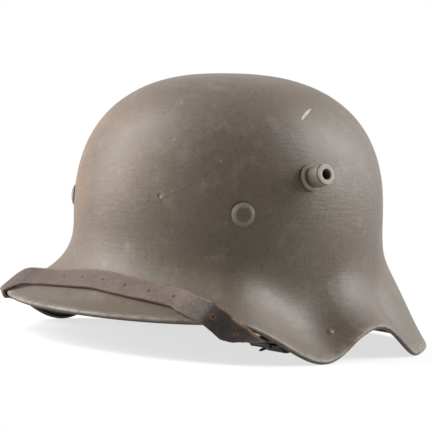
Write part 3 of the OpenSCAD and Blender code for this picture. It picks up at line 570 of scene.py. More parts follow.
def liner_leather():
    f = Finish("pad_leather")
    colour = f.mix(f.patches(22, 4, 0.6, 0.4, 0.66), (0.215, 0.118, 0.060), (0.125, 0.066, 0.036))
    colour = f.tint(colour, f.patches(160, 5, 0.65, 0.48, 0.72), 0.6, (0.075, 0.042, 0.026))
    colour = f.tint(colour, f.attribute("edge"), 0.6, (0.27, 0.17, 0.10))
    rough = f.span(f.noise(60, 4, 0.6), 0.5, 0.75)
    grain = f.cells(900, "DISTANCE_TO_EDGE")
    creases = f.patches(75, 6, 0.62, 0.44, 0.52, distortion=0.6)
    height = f.plus(f.times(grain, 0.6), f.times(creases, 0.5))
    return f.done(colour, rough, f.bump(height, 0.22))


def cushion_cloth():
    f = Finish("cushion_cloth")
    wave = {"Vector": f.place, "Scale": 520.0, "Distortion": 1.2, "Detail": 1.0, "Detail Scale": 1.5}
    warp = f.add("ShaderNodeTexWave", wave, bands_direction="X").outputs["Fac"]
    weft = f.add("ShaderNodeTexWave", wave, bands_direction="Z").outputs["Fac"]
    weave = f.times(warp, weft)
    colour = f.mix(f.patches(30, 5, 0.6, 0.42, 0.68), (0.40, 0.34, 0.25), (0.26, 0.20, 0.13))
    colour = f.tint(colour, weave, 0.5, (0.16, 0.125, 0.085))
    height = f.plus(f.times(weave, 0.4), f.noise(220, 3, 0.5))
    return f.done(colour, f.span(f.noise(100), 0.85, 0.98), f.bump(height, 0.3), Sheen_Weight=0.25)


def strap_leather():
    """Grey-brown over the visor and darker towards the buckle, partly its own tone and partly painted shade,
    with tan cut edges, rings round the holes and painted shade down the holes.
    """
    f = Finish("strap_leather")
    dark = f.attribute("dark")
    # The dark attribute darkens the strap, partly its own tone and partly painted shade
    colour = f.mix(dark, (0.125, 0.094, 0.078), (0.013, 0.0098, 0.008))
    colour = f.tint(colour, f.patches(60, 5, 0.65, 0.42, 0.68), 0.5, (0.052, 0.037, 0.030))
    light = f.minus(1.0, f.times(dark, 0.75))
    rubbed = f.times(f.patches(300, 5, 0.7, 0.50, 0.70, distortion=0.4), light)
    colour = f.tint(colour, rubbed, 0.4, (0.165, 0.13, 0.112))
    halo = f.times(f.attribute("halo"), f.patches(160, 4, 0.7, 0.40, 0.60))
    colour = f.tint(colour, halo, 0.6, (0.17, 0.075, 0.036))
    edge = f.times(f.attribute("edge"), f.patches(130, 4, 0.7, 0.36, 0.62))
    colour = f.tint(colour, edge, 0.75, (0.21, 0.115, 0.062))
    # Painted shade on the walls of the holes
    colour = f.mix(f.attribute("bore"), colour, (0.018, 0.012, 0.009))
    rough = f.span(f.noise(110, 4, 0.6), 0.48, 0.70)
    grain = f.cells(1500, "DISTANCE_TO_EDGE")
    cracks = f.patches(330, 5, 0.7, 0.46, 0.53, distortion=0.8)
    height = f.plus(f.times(grain, 0.5), f.times(cracks, 0.35))
    height = f.plus(height, f.times(f.noise(90, 4, 0.6), 0.9))
    return f.done(colour, rough, f.bump(height, 0.26), Specular_IOR_Level=0.18)


PAINT = shell_paint()
LUG_PAINT = fitting_paint("lug_paint", 0.95)
PIN_PAINT = fitting_paint("pin_paint", 0.9)
WASHER_STEEL = steel_finish("washer_steel", (0.20, 0.19, 0.175), (0.12, 0.075, 0.045), 0.5)
BAND_STEEL = steel_finish("band_steel", (0.075, 0.07, 0.064), (0.085, 0.052, 0.034), 0.5)
BALE_STEEL = steel_finish("bale_steel", (0.16, 0.15, 0.14), (0.10, 0.064, 0.042), 0.45)
BUCKLE_STEEL = steel_finish("buckle_steel", (0.045, 0.041, 0.038), (0.06, 0.04, 0.028), 0.42)
RIVET_METAL = steel_finish("rivet_metal", (0.33, 0.25, 0.13), (0.16, 0.12, 0.075), 0.42)
PAD_LEATHER = liner_leather()
CUSHION_CLOTH = cushion_cloth()
STRAP_LEATHER = strap_leather()


# The shell: the outer skin, the rolled rim and the inner skin, in one closed surface

LUG_TURN, LUG_SHANK_D, LUG_PEEN_D = 80, 11, 14.4
LUG_Z = BAND_TOP_Z + LUG_PEEN_D / 2 + 1.4
PIN_TURN, PIN_Z, PIN_SHANK_D = 51.8, BAND_LOW_Z + 12.6, 5
LUG_ROW = float(dome_rise(LUG_Z)) / 90
PIN_ROW = float(dome_rise(PIN_Z)) / 90
PIN_TURNS = (PIN_TURN, -PIN_TURN, 180)


def lug_axes(side):
    return facing(skin_at(side * LUG_TURN, LUG_ROW), normal_at(side * LUG_TURN, LUG_ROW))


def pin_axes(turn):
    return facing(skin_at(turn, PIN_ROW), outward(turn))


def unevenness(points):
    """How far the pressed steel stands out or in, in millimetres."""
    return np.array([
        0.16 * noise.noise(Vector(p) * 0.028) + 0.07 * noise.noise(Vector(p) * 0.075)
        + 0.025 * noise.noise(Vector(p) * 0.22)
        for p in points
    ])


def build_shell():
    turns = np.arange(-180, 180, 1.0)
    outer = np.concatenate([np.linspace(0, 1, 73)[1:], 1 + np.linspace(0, 1, 57)[1:]])
    bead_end = 360 - math.degrees(math.acos(1 - 2 * STEEL_T / BEAD_D))
    bead = np.linspace(0, bead_end, 19)[1:]
    t, rows = np.meshgrid(turns, outer)
    fade = np.clip((2 - rows) * 8, 0, 1).ravel()
    skin, normals = skin_at(t, rows).reshape(-1, 3), normal_at(t, rows).reshape(-1, 3)
    bulge = (unevenness(skin) * fade)[:, None] * normals
    skin = skin + bulge
    rolled = np.concatenate([bead_at(turns, a) for a in bead])
    inner_count = len(outer) - 3
    inner = (inner_at(t, rows).reshape(-1, 3) + bulge).reshape(len(outer), len(turns), 3)[:inner_count][::-1]
    inner = inner.reshape(-1, 3)
    points = np.concatenate([skin, rolled, inner, [[0, 0, CROWN_Z], [0, 0, CROWN_Z - STEEL_T]]])
    n, m = len(turns), len(outer) + len(bead) + inner_count
    top, bottom = n * m, n * m + 1
    faces = [f[::-1] for f in grid_faces(m, n)]
    faces += [(top, j, (j + 1) % n) for j in range(n)]
    last = n * (m - 1)
    faces += [(bottom, last + (j + 1) % n, last + j) for j in range(n)]
    shell = piece("shell_pressing", points, faces, PAINT, stands_for=["shell"], sharp=60)
    # Wear on the rim, which also stands for a painted highlight along the top of the bead
    rim = np.concatenate([
        np.clip(1 - (2 - rows) / 0.035, 0, 1).ravel(),
        np.repeat(np.interp(bead, [0, 60, 120, bead_end], [1, 1, 0.25, 0]), n),
        np.zeros(len(inner) + 2)
    ])
    # Painted shade: 1 beneath the rolled bead and just inside the rim, a quarter over the rest of the inside
    under = np.concatenate([
        np.zeros(len(skin)),
        np.repeat(np.interp(bead, [0, 50, 110, bead_end], [0, 0, 1, 1]), n),
        np.repeat(np.interp(np.arange(inner_count), [0, 10], [1, 0.25]), n),
        [0.25, 0.25]
    ])
    add_attribute(shell, "rim", rim)
    add_attribute(shell, "under", under)
    holes = [(lug_axes(side), LUG_SHANK_D / 2 + FIT, 24) for side in (-1, 1)]
    holes += [(pin_axes(turn), PIN_SHANK_D / 2 + FIT, 24) for turn in PIN_TURNS]
    drill(shell, holes)
    shell.data.set_sharp_from_angle(angle=math.radians(60))


# Ventilation lugs, turned in steps with the shell's paint worn off their edges

LUG_BOW = 0.488
LUG_SIDES = 128
LUG = {"collar_d": 17, "collar_t": 3, "groove_h": 3, "ring_h": 8, "ring_d": 14.4, "end_d": 12.8,
       "bore_d": 6.4, "len": 15.5, "washer_t": 1, "peen_h": 1.6, "inside": STEEL_T + LUG_BOW + SEAT}


def build_lug(side, name):
    collar, ring, end, bore = (LUG[k] / 2 for k in ("collar_d", "ring_d", "end_d", "bore_d"))
    low = -LUG["inside"] - LUG["washer_t"]
    ring_low = LUG["collar_t"] + LUG["groove_h"]
    ring_top = ring_low + LUG["ring_h"]
    groove, shank, peen, top = end - 0.7, LUG_SHANK_D / 2, LUG_PEEN_D / 2, LUG["len"]
    corners = [
        [bore, 0], [bore, low - LUG["peen_h"]], [peen - 0.8, low - LUG["peen_h"]], [peen, low], [shank, low],
        [shank, FIT], [collar, FIT], [collar, LUG["collar_t"] - 1.1], [collar - 1.1, LUG["collar_t"]],
        [groove, LUG["collar_t"] + 0.1], [groove, ring_low], [ring, ring_low], [ring, ring_top - 0.6],
        [ring - 0.6, ring_top], [end, ring_top + 0.1], [end, top - 0.45], [end - 0.45, top],
        [bore + 0.5, top], [bore, top - 0.5], [bore, 0]
    ]
    profile = rounded(corners, 0.3)
    points, faces = revolved(profile, lug_axes(side), LUG_SIDES)
    lug = piece(name + "_turned", points, faces, LUG_PAINT, stands_for=[name], sharp=50)
    edges = [corners[k] for k in (7, 8, 12, 13, 15, 16, 17)]
    wear_and_sheen = 0.5 * corner_wear(profile, edges, 0.5)
    wear_and_sheen = np.maximum(wear_and_sheen, np.where((profile[:, 1] > top - 0.5) & (profile[:, 0] > bore + 0.4), 0.75, 0))
    # Painted shade with some grime: in the groove, in the step up to the end and down the bore
    grime_and_shade = np.maximum(corner_wear(profile, [corners[k] for k in (9, 10, 14)], 0.9),
                       (profile[:, 0] < bore + 0.05) * (profile[:, 1] < top - 0.8))
    add_attribute(lug, "edge", np.repeat(wear_and_sheen, LUG_SIDES))
    add_attribute(lug, "grime_and_shade", np.repeat(grime_and_shade, LUG_SIDES))


# Liner pins: the domed head outside, the shank and two bent legs

BAND_GAP, BAND_T = 2.5, 1
PIN_SIDES = 96
PIN = {"head_d": 15, "head_h": 2.6, "leg_len": 15, "leg_t": 1.2, "washer_t": 1, "washer_side": 16}


def pin_seat(turn):
    """Gap under the head, whose lower edge meets the sloping wall."""
    foot = skin_at(turn, float(dome_rise(PIN_Z - PIN["head_d"] / 2)) / 90)
    return float((foot - skin_at(turn, PIN_ROW)) @ outward(turn)) + FIT


def pin_depth(turn):
    """From the skin to the flat washer, which meets the curved band at two edges."""
    gap = BAND_GAP + BAND_T
    chord = inside_at(turn + 1, PIN_Z, gap) - inside_at(turn - 1, PIN_Z, gap)
    step = PIN["washer_side"] / np.linalg.norm(chord)
    edges = [inside_at(t, PIN_Z, gap) for t in (turn - step, turn + step)]
    return max(float((skin_at(turn, PIN_ROW) - edge) @ outward(turn)) for edge in edges) + SEAT


def build_pin(turn, name):
    axes = pin_axes(turn)
    low = -pin_depth(turn) - PIN["washer_t"] - FIT
    r, h, shank, seat = PIN["head_d"] / 2, PIN["head_h"], PIN_SHANK_D / 2, pin_seat(turn)
    corners = [[0, low], [shank, low], [shank, seat], [r - 0.3, seat], [r, seat + 0.35],
               [r - 0.1, seat + 0.8], [r - 2.1, seat + h - 0.45], [r / 2, seat + h - 0.1], [0, seat + h]]
    profile = rounded(corners, 0.4)
    head = revolved(profile, axes, PIN_SIDES)
    legs = []
    length = PIN["leg_len"]
    for way in (-1, 1):
        along = np.array([0.0, 0.9, 1.9, 3.2, 6, 10, length - 1.2, length - 0.3, length])
        half = np.array([1, 1, 1, 1, 1, 1, 0.93, 0.7, 0.35]) * shank
        drop = np.array([1.6, 0.9, 0.25, 0, 0, 0.05, 0.12, 0.16, 0.2])
        sections = []
        for x, w, d in zip(along, half, drop):
            z = low + d
            t = PIN["leg_t"] * 0.96
            ring = [[x, -w, z - 0.25], [x, -w + 0.25, z], [x, w - 0.25, z], [x, w, z - 0.25],
                    [x, w, z - t + 0.25], [x, w - 0.25, z - t], [x, -w + 0.25, z - t], [x, -w, z - t + 0.25]]
            sections.append(placed(np.array(ring) * [way, 1, 1], axes))
        legs.append(sweep(along, sections))
    points, faces = joined([head] + legs)
    pin = piece(name + "_forged", points, faces, PIN_PAINT, stands_for=[name], sharp=50)
    # A painted highlight on the bevel of the head
    wear_and_sheen = 0.25 * corner_wear(profile, [corners[5], corners[6]], 0.9)
    # Painted shadow round the foot of the head, where it meets the shell
    grime_and_shade = corner_wear(profile, [corners[3], corners[4]], 0.5)
    spare = np.zeros(len(points) - PIN_SIDES * len(profile))
    add_attribute(pin, "edge", np.concatenate([np.repeat(wear_and_sheen, PIN_SIDES), spare]))
    add_attribute(pin, "grime_and_shade", np.concatenate([np.repeat(grime_and_shade, PIN_SIDES), spare]))


# Liner band and rivets

def ring_turns(first, last, count):
    return [first + (last - first) * k / (count - 1) for k in range(count)]


FRONT_PAD, REAR_PAD, RIVET_EDGE = 43, 58, 6
REAR_END = 180 - math.degrees(math.asin((PIN["washer_side"] / 2 + 1.7) / HALF_WIDTH))
FRONT_RIVETS = ring_turns(-FRONT_PAD + RIVET_EDGE, FRONT_PAD - RIVET_EDGE, 4)
REAR_RIVETS = ring_turns(REAR_PAD + RIVET_EDGE, REAR_END - RIVET_EDGE, 4)
ALL_RIVETS = FRONT_RIVETS + REAR_RIVETS + [-t for t in REAR_RIVETS]
RIVET_Z = BAND_LOW_Z + 6
LEATHER_T, LEATHER_ROUND = 1.8, 0.9
RIVET_D, RIVET_SHANK_D = 7, 2.6


def build_band():
    turns = np.arange(-180, 180, 2.0)
    edge = 0.35
    outline = [[0, edge], [0, BAND_W - edge], [edge, BAND_W], [BAND_T - edge, BAND_W],
               [BAND_T, BAND_W - edge], [BAND_T, edge], [BAND_T - edge, 0], [edge, 0]]
    points = np.concatenate([
        inside_at(turns, BAND_LOW_Z + z, np.full(len(turns), BAND_GAP + gap)) for gap, z in outline
    ])
    n = len(turns)
    faces = grid_faces(len(outline), n)
    last = n * (len(outline) - 1)
    faces += [(last + j, last + (j + 1) % n, (j + 1) % n, j) for j in range(n)]
    piece("band_hoop", points, faces, BAND_STEEL, stands_for=["liner_band"], sharp=35)


def dome_head(radius, height):
    """Profile of a small rivet head from its rim to its top."""
    steps = np.linspace(0, 1, 7) * math.pi / 2
    arc = [[radius * math.cos(s) ** 0.8, 0.25 + height * math.sin(s)] for s in steps]
    arc[-1][0] = 0
    return [[radius - 0.15, 0]] + arc


def build_pad_rivets():
    inner = BAND_T + SEAT + LEATHER_T + SEAT
    parts = []
    for turn in ALL_RIVETS:
        place, way = inside_at(turn, RIVET_Z, BAND_GAP), outward(turn)
        r = RIVET_D / 2
        out = [[0, 0.9], [r - 0.8, 0.85], [r - 0.5, 0.5], [r - 0.5, FIT], [0, FIT]]
        parts.append(revolved(rounded(out, 0.2, 3)[::-1], facing(place, way), 32))
        shank = [[RIVET_SHANK_D / 2, -inner - 0.3], [RIVET_SHANK_D / 2, 0.3]]
        parts.append(revolved(shank, facing(place, way), 20))
        head = [[0, 0]] + dome_head(RIVET_D / 2, 1.0)
        parts.append(revolved(head, facing(place - way * inner, -way), 32))
    points, faces = joined(parts)
    piece("pad_rivet_set", points, faces, RIVET_METAL, stands_for=["pad_rivets"])


# Leather pads, each with two fingers that lean in towards the crown

PAD_LOW_Z, FINGER_ROOT_Z, FINGER_TIP_Z = BAND_LOW_Z - 4, BAND_LOW_Z + 20, 150
FINGER_TIP_GAP, FINGER_OPEN = 17, 0.8
BEND_Z = RIVET_Z + RIVET_D / 2 + 2.5
PAD_GAP = BAND_GAP + BAND_T + SEAT


def pad_back_gap(z):
    w = np.clip((z - BEND_Z) / (FINGER_TIP_Z - BEND_Z), 0, 1)
    return PAD_GAP + (FINGER_TIP_GAP - PAD_GAP) * w * w * (3 - 2 * w)


def pad_columns(first, last, per_finger=61):
    mid, half = (first + last) / 2, (last - first) / 4
    share = -np.cos(np.pi * np.arange(per_finger) / (per_finger - 1))
    reach = np.sqrt(np.maximum(0, 1 - np.abs(share) ** 3))
    turns = [centre + share * (half - FINGER_OPEN) for centre in (mid - half, mid + half)]
    return np.concatenate(turns), np.concatenate([reach, reach])


def build_pad(first, last, name):
    turns, reach = pad_columns(first, last)
    ends = np.array([0, 0.004, 0.010, 0.018])
    shares = np.concatenate([ends, np.linspace(0.03, 0.97, 44), 1 - ends[::-1]])
    top = FINGER_ROOT_Z + (FINGER_TIP_Z - FINGER_ROOT_Z) * reach
    z = top[None] + (PAD_LOW_Z - top)[None] * shares[:, None]
    t = np.broadcast_to(turns, z.shape)
    arc = np.radians(turns) * (HALF_WIDTH + 10)
    slope = np.abs(np.gradient(top) / np.maximum(np.gradient(arc), 1e-3))
    off_edge = np.minimum((top[None] - z) / np.hypot(1, slope)[None], z - PAD_LOW_Z)
    side_edge = np.minimum(t - turns[0], turns[-1] - t) * 1.8
    off_edge = np.minimum(off_edge, side_edge)
    full = np.sqrt(np.clip(1 - (1 - np.clip(off_edge / LEATHER_ROUND, 0, 1)) ** 2, 0.03, 1))
    # The fingers cup a little along their length and wave along their tips
    lift = np.clip((z - FINGER_ROOT_Z) / (FINGER_TIP_Z - FINGER_ROOT_Z), 0, 1)
    wave = 0.35 * lift * np.sin(np.radians(t * 14 + z * 3))
    back_gap = pad_back_gap(z) + wave + LEATHER_T / 2 * (1 - full)
    face_gap = pad_back_gap(z) + wave + LEATHER_T / 2 * (1 + full)
    face, back = inside_at(t, z, face_gap), inside_at(t, z, back_gap)
    m, n = z.shape
    points = np.concatenate([face.reshape(-1, 3), back.reshape(-1, 3)])
    faces = grid_faces(m, n, closed=False)
    faces += [f[::-1] for f in grid_faces(m, n, closed=False, first=m * n)]
    faces += edge_strip(m, n)
    pad = piece(name + "_leather", points, faces, PAD_LEATHER, stands_for=[name],
                sharp=60)
    edge = np.clip(1 - off_edge / 1.3, 0, 1).ravel()
    add_attribute(pad, "edge", np.concatenate([edge, edge]))


def edge_strip(m, n):
    """Quads that join the border of a grid of points to the border of its copy behind."""
    s = m * n
    border = list(range(n)) + [n * i + n - 1 for i in range(1, m)]
    border += [n * (m - 1) + j for j in range(n - 2, -1, -1)] + [n * i for i in range(m - 2, 0, -1)]
    ring = border + [border[0]]
    return [(b, a, s + a, s + b) for a, b in zip(ring, ring[1:])]


# Cushions behind the fingers

LUG_REACH = LUG["inside"] - STEEL_T + LUG["washer_t"] + LUG["peen_h"]
CUSHION_GAP = 0.6
CUSHION_LOW_Z, CUSHION_TOP_Z = BAND_TOP_Z + 2, FINGER_TIP_Z - 4


def build_cushion(first, last, name):
    cols, rows, inset = 90, 34, 4
    j, k = np.meshgrid(np.arange(cols + 1), np.arange(rows + 1))
    t = first + inset + (last - first - 2 * inset) * (1 - np.cos(np.pi * j / cols)) / 2
    z = CUSHION_TOP_Z + (CUSHION_LOW_Z - CUSHION_TOP_Z) * (1 - np.cos(np.pi * k / rows)) / 2
    across, down = (np.sqrt(np.clip(np.sin(np.pi * share), 0, 1)) for share in (j / cols, k / rows))
    crown = across * down
    back = pad_back_gap(z) - 2 * SEAT
    room = back - LUG_REACH - CUSHION_GAP
    # The linen gathers in short wrinkles along its seam and the stuffing leaves soft lumps
    lumps = np.array([noise.noise(Vector((a * 0.22, b * 0.12, 3.7))) for a, b in zip(t.ravel(), z.ravel())])
    lumps = lumps.reshape(t.shape) * 0.06 * crown
    gather = 0.05 * np.cos(np.radians(t * 70)) * np.exp(-crown * 5)
    front = inside_at(t, z, back - room * (0.24 + 0.68 * crown + lumps + gather))
    rear = inside_at(t, z, back - room * np.clip(0.20 * (1 - crown) + gather, 0.01, 1))
    m, n = t.shape
    points = np.concatenate([front.reshape(-1, 3), rear.reshape(-1, 3)])
    faces = [f[::-1] for f in grid_faces(m, n, closed=False)]
    faces += grid_faces(m, n, closed=False, first=m * n)
    faces += [f[::-1] for f in edge_strip(m, n)]
    cushion = piece(name + "_stuffed", points, faces, CUSHION_CLOTH, stands_for=[name],
                    sharp=50)


# Bales

BALE_TURN, BALE_WIRE_D, BALE_W, BALE_DROP, BALE_GAP = 90, 2.6, 22, 16, 7.8
BALE_R = BALE_WIRE_D / 2
BALE_TOP_Z = PAD_LOW_Z - (BALE_R + RUNNING + 0.9) - SEAT - 0.1
BALE_LOW_Z = BALE_TOP_Z - BALE_DROP


def bale_bar(side):
    return inside_at(side * BALE_TURN, BALE_LOW_Z, BALE_GAP)


def rounded_loop(width, height, radius, steps=8):
    """A closed rectangle with round corners, as points in a plane, from its lower left corner."""
    out = []
    for x, y, start in ((-1, -1, 180), (1, -1, 270), (1, 1, 0), (-1, 1, 90)):
        cx, cy = x * (width / 2 - radius), y * (height / 2 - radius)
        for k in range(steps + 1):
            a = math.radians(start + 90 * k / steps)
            out.append([cx + radius * math.cos(a), cy + radius * math.sin(a)])
    return np.array(out)


def build_bale(side, name):
    loop = rounded_loop(BALE_W, BALE_DROP, 1.6)
    turn = side * BALE_TURN
    centre = bale_bar(side) + [0, 0, BALE_DROP / 2]
    path = centre + loop[:, :1] * sideways(turn) + loop[:, 1:] * np.array([0, 0, 1.0])
    points, faces = wire(path, BALE_R, closed=True)
    piece(name + "_wire", points, faces, BALE_STEEL, stands_for=[name], sharp=60)


# The buckle, level under the rim of the left temple

STRAP_W, STRAP_T = 15, 2.2
WIRE_D, BUCKLE_LEN, ROLLER_D, BUCKLE_SLOPE = 2.4, 16, 4.4, 2
WIRE_R = WIRE_D / 2
HEEL_TURN, HEEL_IN, HEEL_DROP, HEEL_RISE = 64, 28, -1, 1
SIDE_OUT = STRAP_W / 2 + 0.8 + WIRE_R
ROLLER_Y = -BUCKLE_LEN * math.cos(math.radians(BUCKLE_SLOPE))
ROLLER_Z = BUCKLE_LEN * math.sin(math.radians(BUCKLE_SLOPE))
FRONT_R = WIRE_R - 0.2
HEEL_BACK = np.array([0, math.cos(math.radians(HEEL_RISE)), math.sin(math.radians(HEEL_RISE))])
HEEL_UP = np.array([0, -HEEL_BACK[2], HEEL_BACK[1]])
FOLD_LEN, TAIL_LEN = 14, 3
PRONG_R, PRONG_LEN, PRONG_CROSS = 0.9, BUCKLE_LEN + 1.5, 7
PRONG_DROP = math.asin((ROLLER_D / 2 + SEAT + PRONG_R) / BUCKLE_LEN) - math.radians(BUCKLE_SLOPE)
PRONG_WAY = np.array([0, -math.cos(PRONG_DROP), -math.sin(PRONG_DROP)])


def temple_heel(side):
    return rim_at(side * HEEL_TURN) - outward(side * HEEL_TURN) * HEEL_IN - [0, 0, HEEL_DROP]


def build_buckle():
    heel = temple_heel(1)
    loop = rounded_loop(2 * SIDE_OUT, BUCKLE_LEN, 2.2)
    path = []
    for x, y in loop:
        share = (y + BUCKLE_LEN / 2) / BUCKLE_LEN
        path.append(heel + [x, ROLLER_Y * share, ROLLER_Z * share])
    on_bar = np.abs(np.abs(loop[:, 1]) - BUCKLE_LEN / 2) < 0.3
    radii = np.where(on_bar, np.where(loop[:, 1] > 0, FRONT_R, WIRE_R), WIRE_R + 0.1)
    points, faces = wire(path, radii, closed=True)
    piece("buckle_loop", points, faces, BUCKLE_STEEL, stands_for=["buckle_frame"],
          sharp=60)

    axes = (heel + [0, ROLLER_Y, ROLLER_Z], np.array([[0, 1, 0], [0, 0, 1], [1, 0, 0]], float))
    half, r, bore = (STRAP_W + 1) / 2, ROLLER_D / 2, FRONT_R + RUNNING
    outline = [[bore, 0], [bore, -half], [r, -half], [r, -half + 1.2], [r - 0.12, -half + 1.5],
               [r - 0.12, half - 1.5], [r, half - 1.2], [r, half], [bore, half], [bore, 0]]
    points, faces = revolved(rounded(outline, 0.3, 3), axes, 48)
    piece("roller_sleeve", points, faces, BUCKLE_STEEL, body="roller", stands_for=["buckle_roller"],
          sharp=50)

    tip = PRONG_WAY * (PRONG_LEN + PRONG_R)
    eye_r = WIRE_R + RUNNING + 0.5
    eye = [[0.35 * math.cos(a / 2), eye_r * math.sin(a), eye_r * math.cos(a)]
           for a in np.radians(np.linspace(-30, 225, 18))]
    start = np.array(eye[-1])
    shaft = [start + (tip - start) * s for s in np.linspace(0.12, 1, 16)]
    path = heel + np.array(eye + shaft)
    radii = np.concatenate([np.full(18, 0.5), np.linspace(0.62, PRONG_R, 5), np.full(8, PRONG_R),
                            [0.85, 0.7, 0.4]])
    points, faces = wire(path, radii, sides=14)
    piece("prong_wire", points, faces, BUCKLE_STEEL, body="prong", stands_for=["buckle_prong"],
          sharp=60)


# The straps' routes: stations, each a centre and the direction across, as in the part's source

STRAP_LIFT = STRAP_T / 2 + 1.15
RIM_FOLD = BEAD_D / 2 + SEAT + STRAP_T / 2 + 0.7
# Half the way between the two layers of a folded end
LAY = STRAP_T / 2 + SEAT / 2
LEFT_TEMPLE = [
    [31, -18.2, 9.6, [-0.65, 0.5, 0.57]],
    [34.5, -8.9, 8, [-0.44, 0.62, 0.65]],
    [37.5, -1.8, 6.6, [-0.38, 0.56, 0.73]],
    [40, 3.7, 4.6, [-0.34, 0.55, 0.76]],
    [42.4, 5.4, 0.2, [-0.15, 0.53, 0.84]],
    [44.4, 3, -4.4, [0.2, 0.41, 0.89]],
    [46, 1.1, -6.1, [0.4, 0.4, 0.82]],
    [47.5, -0.8, -7.2, [0.6, 0.37, 0.71]],
    [49, -2.8, -7.8, [0.76, 0.37, 0.53]],
    [50.5, -5, -8.4, [0.87, 0.34, 0.36]],
    [52.2, -9.5, -8.6, [0.93, 0.3, 0.2]],
    [54.2, -14.5, -8.2, [0.8, 0.58, 0.12]],
]


def mirrored(p):
    return np.asarray(p, float) * [-1, 1, 1]


def flipped(stations):
    return [(mirrored(c), mirrored(w)) for c, w in stations]


def on_line(turn):
    row = 1.6 + 0.22 * (abs(turn) / 36) ** 1.5
    across = unit(skin_at(turn, row - 0.05) - skin_at(turn, row + 0.05))
    return skin_at(turn, row) + normal_at(turn, row) * STRAP_LIFT, across


def rim_frame(turn, v):
    return outward(turn) * v[0] + sideways(turn) * v[1] + np.array([0, 0, v[2]])


def temple_station(s):
    return rim_at(s[0]) + rim_frame(s[0], [s[1], 0, s[2]]), rim_frame(s[0], s[3])


def fold_station(turn, angle):
    a, n = math.radians(angle), normal_at(turn, 2.0)
    swing = n * math.cos(a) + rim_way(turn) * math.sin(a)
    return rim_at(turn) - n * BEAD_D / 2 + swing * RIM_FOLD, sideways(turn)


def fold(centre, back, side_way, across, bar_r):
    """A folded end: in along the strap, round a bar and back along itself."""
    r = bar_r + SEAT + STRAP_T / 2
    stations = [centre + back * FOLD_LEN + side_way * LAY, centre + back * 8.5 + side_way * LAY,
                centre + back * 4 + side_way * (r + LAY) / 2]
    for w in (1, 0.7, 0.4, 0.1, -0.1, -0.4, -0.7, -1):
        a = math.radians(90 * w)
        stations.append(centre + side_way * r * math.sin(a) - back * r * math.cos(a))
    stations += [centre + back * 4 - side_way * (r + LAY) / 2, centre + back * 8.5 - side_way * LAY,
                 centre + back * FOLD_LEN - side_way * LAY]
    return [(s, across) for s in stations]


def side_out(side):
    out = outward(BALE_TURN)
    return out if side > 0 else mirrored(out)


def bale_fold(side):
    along = -sideways(BALE_TURN)
    along = along if side > 0 else mirrored(along)
    return fold(bale_bar(side), np.array([0, 0, -1.0]), -side_out(side), along, BALE_R)


def hang_station(side, t):
    start = bale_bar(side) - [0, 0, FOLD_LEN] - side_out(side) * LAY
    end = temple_heel(side) + HEEL_BACK * FOLD_LEN + HEEL_UP * LAY
    upper, lower = start - [0, 0, 18], end + HEEL_BACK * 24 - [side * 12, 0, 0]
    p = (1 - t) ** 3 * start + 3 * (1 - t) ** 2 * t * upper + 3 * (1 - t) * t * t * lower + t ** 3 * end
    w = min(1, t * 1.5)
    a = math.radians(90 * w * w * (3 - 2 * w))
    return p, np.array([side * math.sin(a), -math.cos(a), 0])


def buckle_route():
    """Over the roller, on to the prong and under the fold at the heel bar."""
    over = ROLLER_D / 2 + SEAT + STRAP_T / 2
    out = WIRE_R + SEAT + STRAP_T / 2 + STRAP_T + 2 * SEAT
    places = [np.array([0, ROLLER_Y - 5, ROLLER_Z + over + 0.4])]
    places += [[0, ROLLER_Y + over * math.cos(a), ROLLER_Z + over * math.sin(a)]
               for a in np.radians([88, 60])]
    places += [PRONG_WAY * PRONG_CROSS]
    places += [[0, out * math.cos(a), -out * math.sin(a)] for a in np.radians([130, 110, 90])]
    places += [[0, TAIL_LEN, -out]]
    return [(temple_heel(1) + p, np.array([1.0, 0, 0])) for p in places]


def long_route():
    right = [temple_station([31, -18.2, 9.6, [-0.65, 0.5, 0.57]]),
             temple_station([34.7, -8.6, 8.2, [-0.44, 0.7, 0.6]])]
    right += [fold_station(37.6 + 1.2 * k, 50 + 40 * k) for k in range(4)]
    right += [(rim_at(45.5) + rim_frame(45.5, [-9, 0, -9.5]), np.array([0.9, 0.42, 0.08])),
              (rim_at(50) + rim_frame(50, [-15, 0, -9.5]), np.array([1, 0.12, 0]))]
    route = [on_line(t) for t in (6, 12, 18, 24)] + right
    route = flipped(route)
    level = np.array([-1.0, 0, 0])
    route += [(temple_heel(-1) + [0, y, 3.5 - y * 0.1], level) for y in (-16, 0)]
    route += [(temple_heel(-1) + HEEL_BACK * FOLD_LEN + HEEL_UP * LAY, level)]
    route += [hang_station(-1, t / 10) for t in range(9, 0, -1)]
    route += bale_fold(-1)
    left = [on_line(t) for t in (6, 12, 18, 24)] + [temple_station(s) for s in LEFT_TEMPLE] + buckle_route()
    return route[::-1] + [on_line(0)] + left


def short_route():
    stations = bale_fold(1)[::-1] + [hang_station(1, t / 10) for t in range(1, 10)]
    return stations + fold(temple_heel(1), HEEL_BACK, HEEL_UP, np.array([1.0, 0, 0]), WIRE_R)


def smooth_run(stations, step=0.7):
    """A smooth curve through the stations, with a point about every step."""
    centres = np.array([s[0] for s in stations], float)
    acrosses = np.array([s[1] for s in stations], float)
    n = len(stations)
    c_out, w_out = [], []
    for i in range(n - 1):
        ids = [max(i - 1, 0), i, i + 1, min(i + 2, n - 1)]
        count = max(2, int(np.linalg.norm(centres[i + 1] - centres[i]) / step))
        for k in range(count):
            t = k / count
            for source, target in ((centres, c_out), (acrosses, w_out)):
                a, b, c, d = source[ids]
                target.append((2 * b + (c - a) * t + (2 * a - 5 * b + 4 * c - d) * t * t
                               + (3 * b - a - 3 * c + d) * t ** 3) / 2)
    return np.array(c_out + [centres[-1]]), np.array(w_out + [acrosses[-1]])


STRAP_SIDES = 22


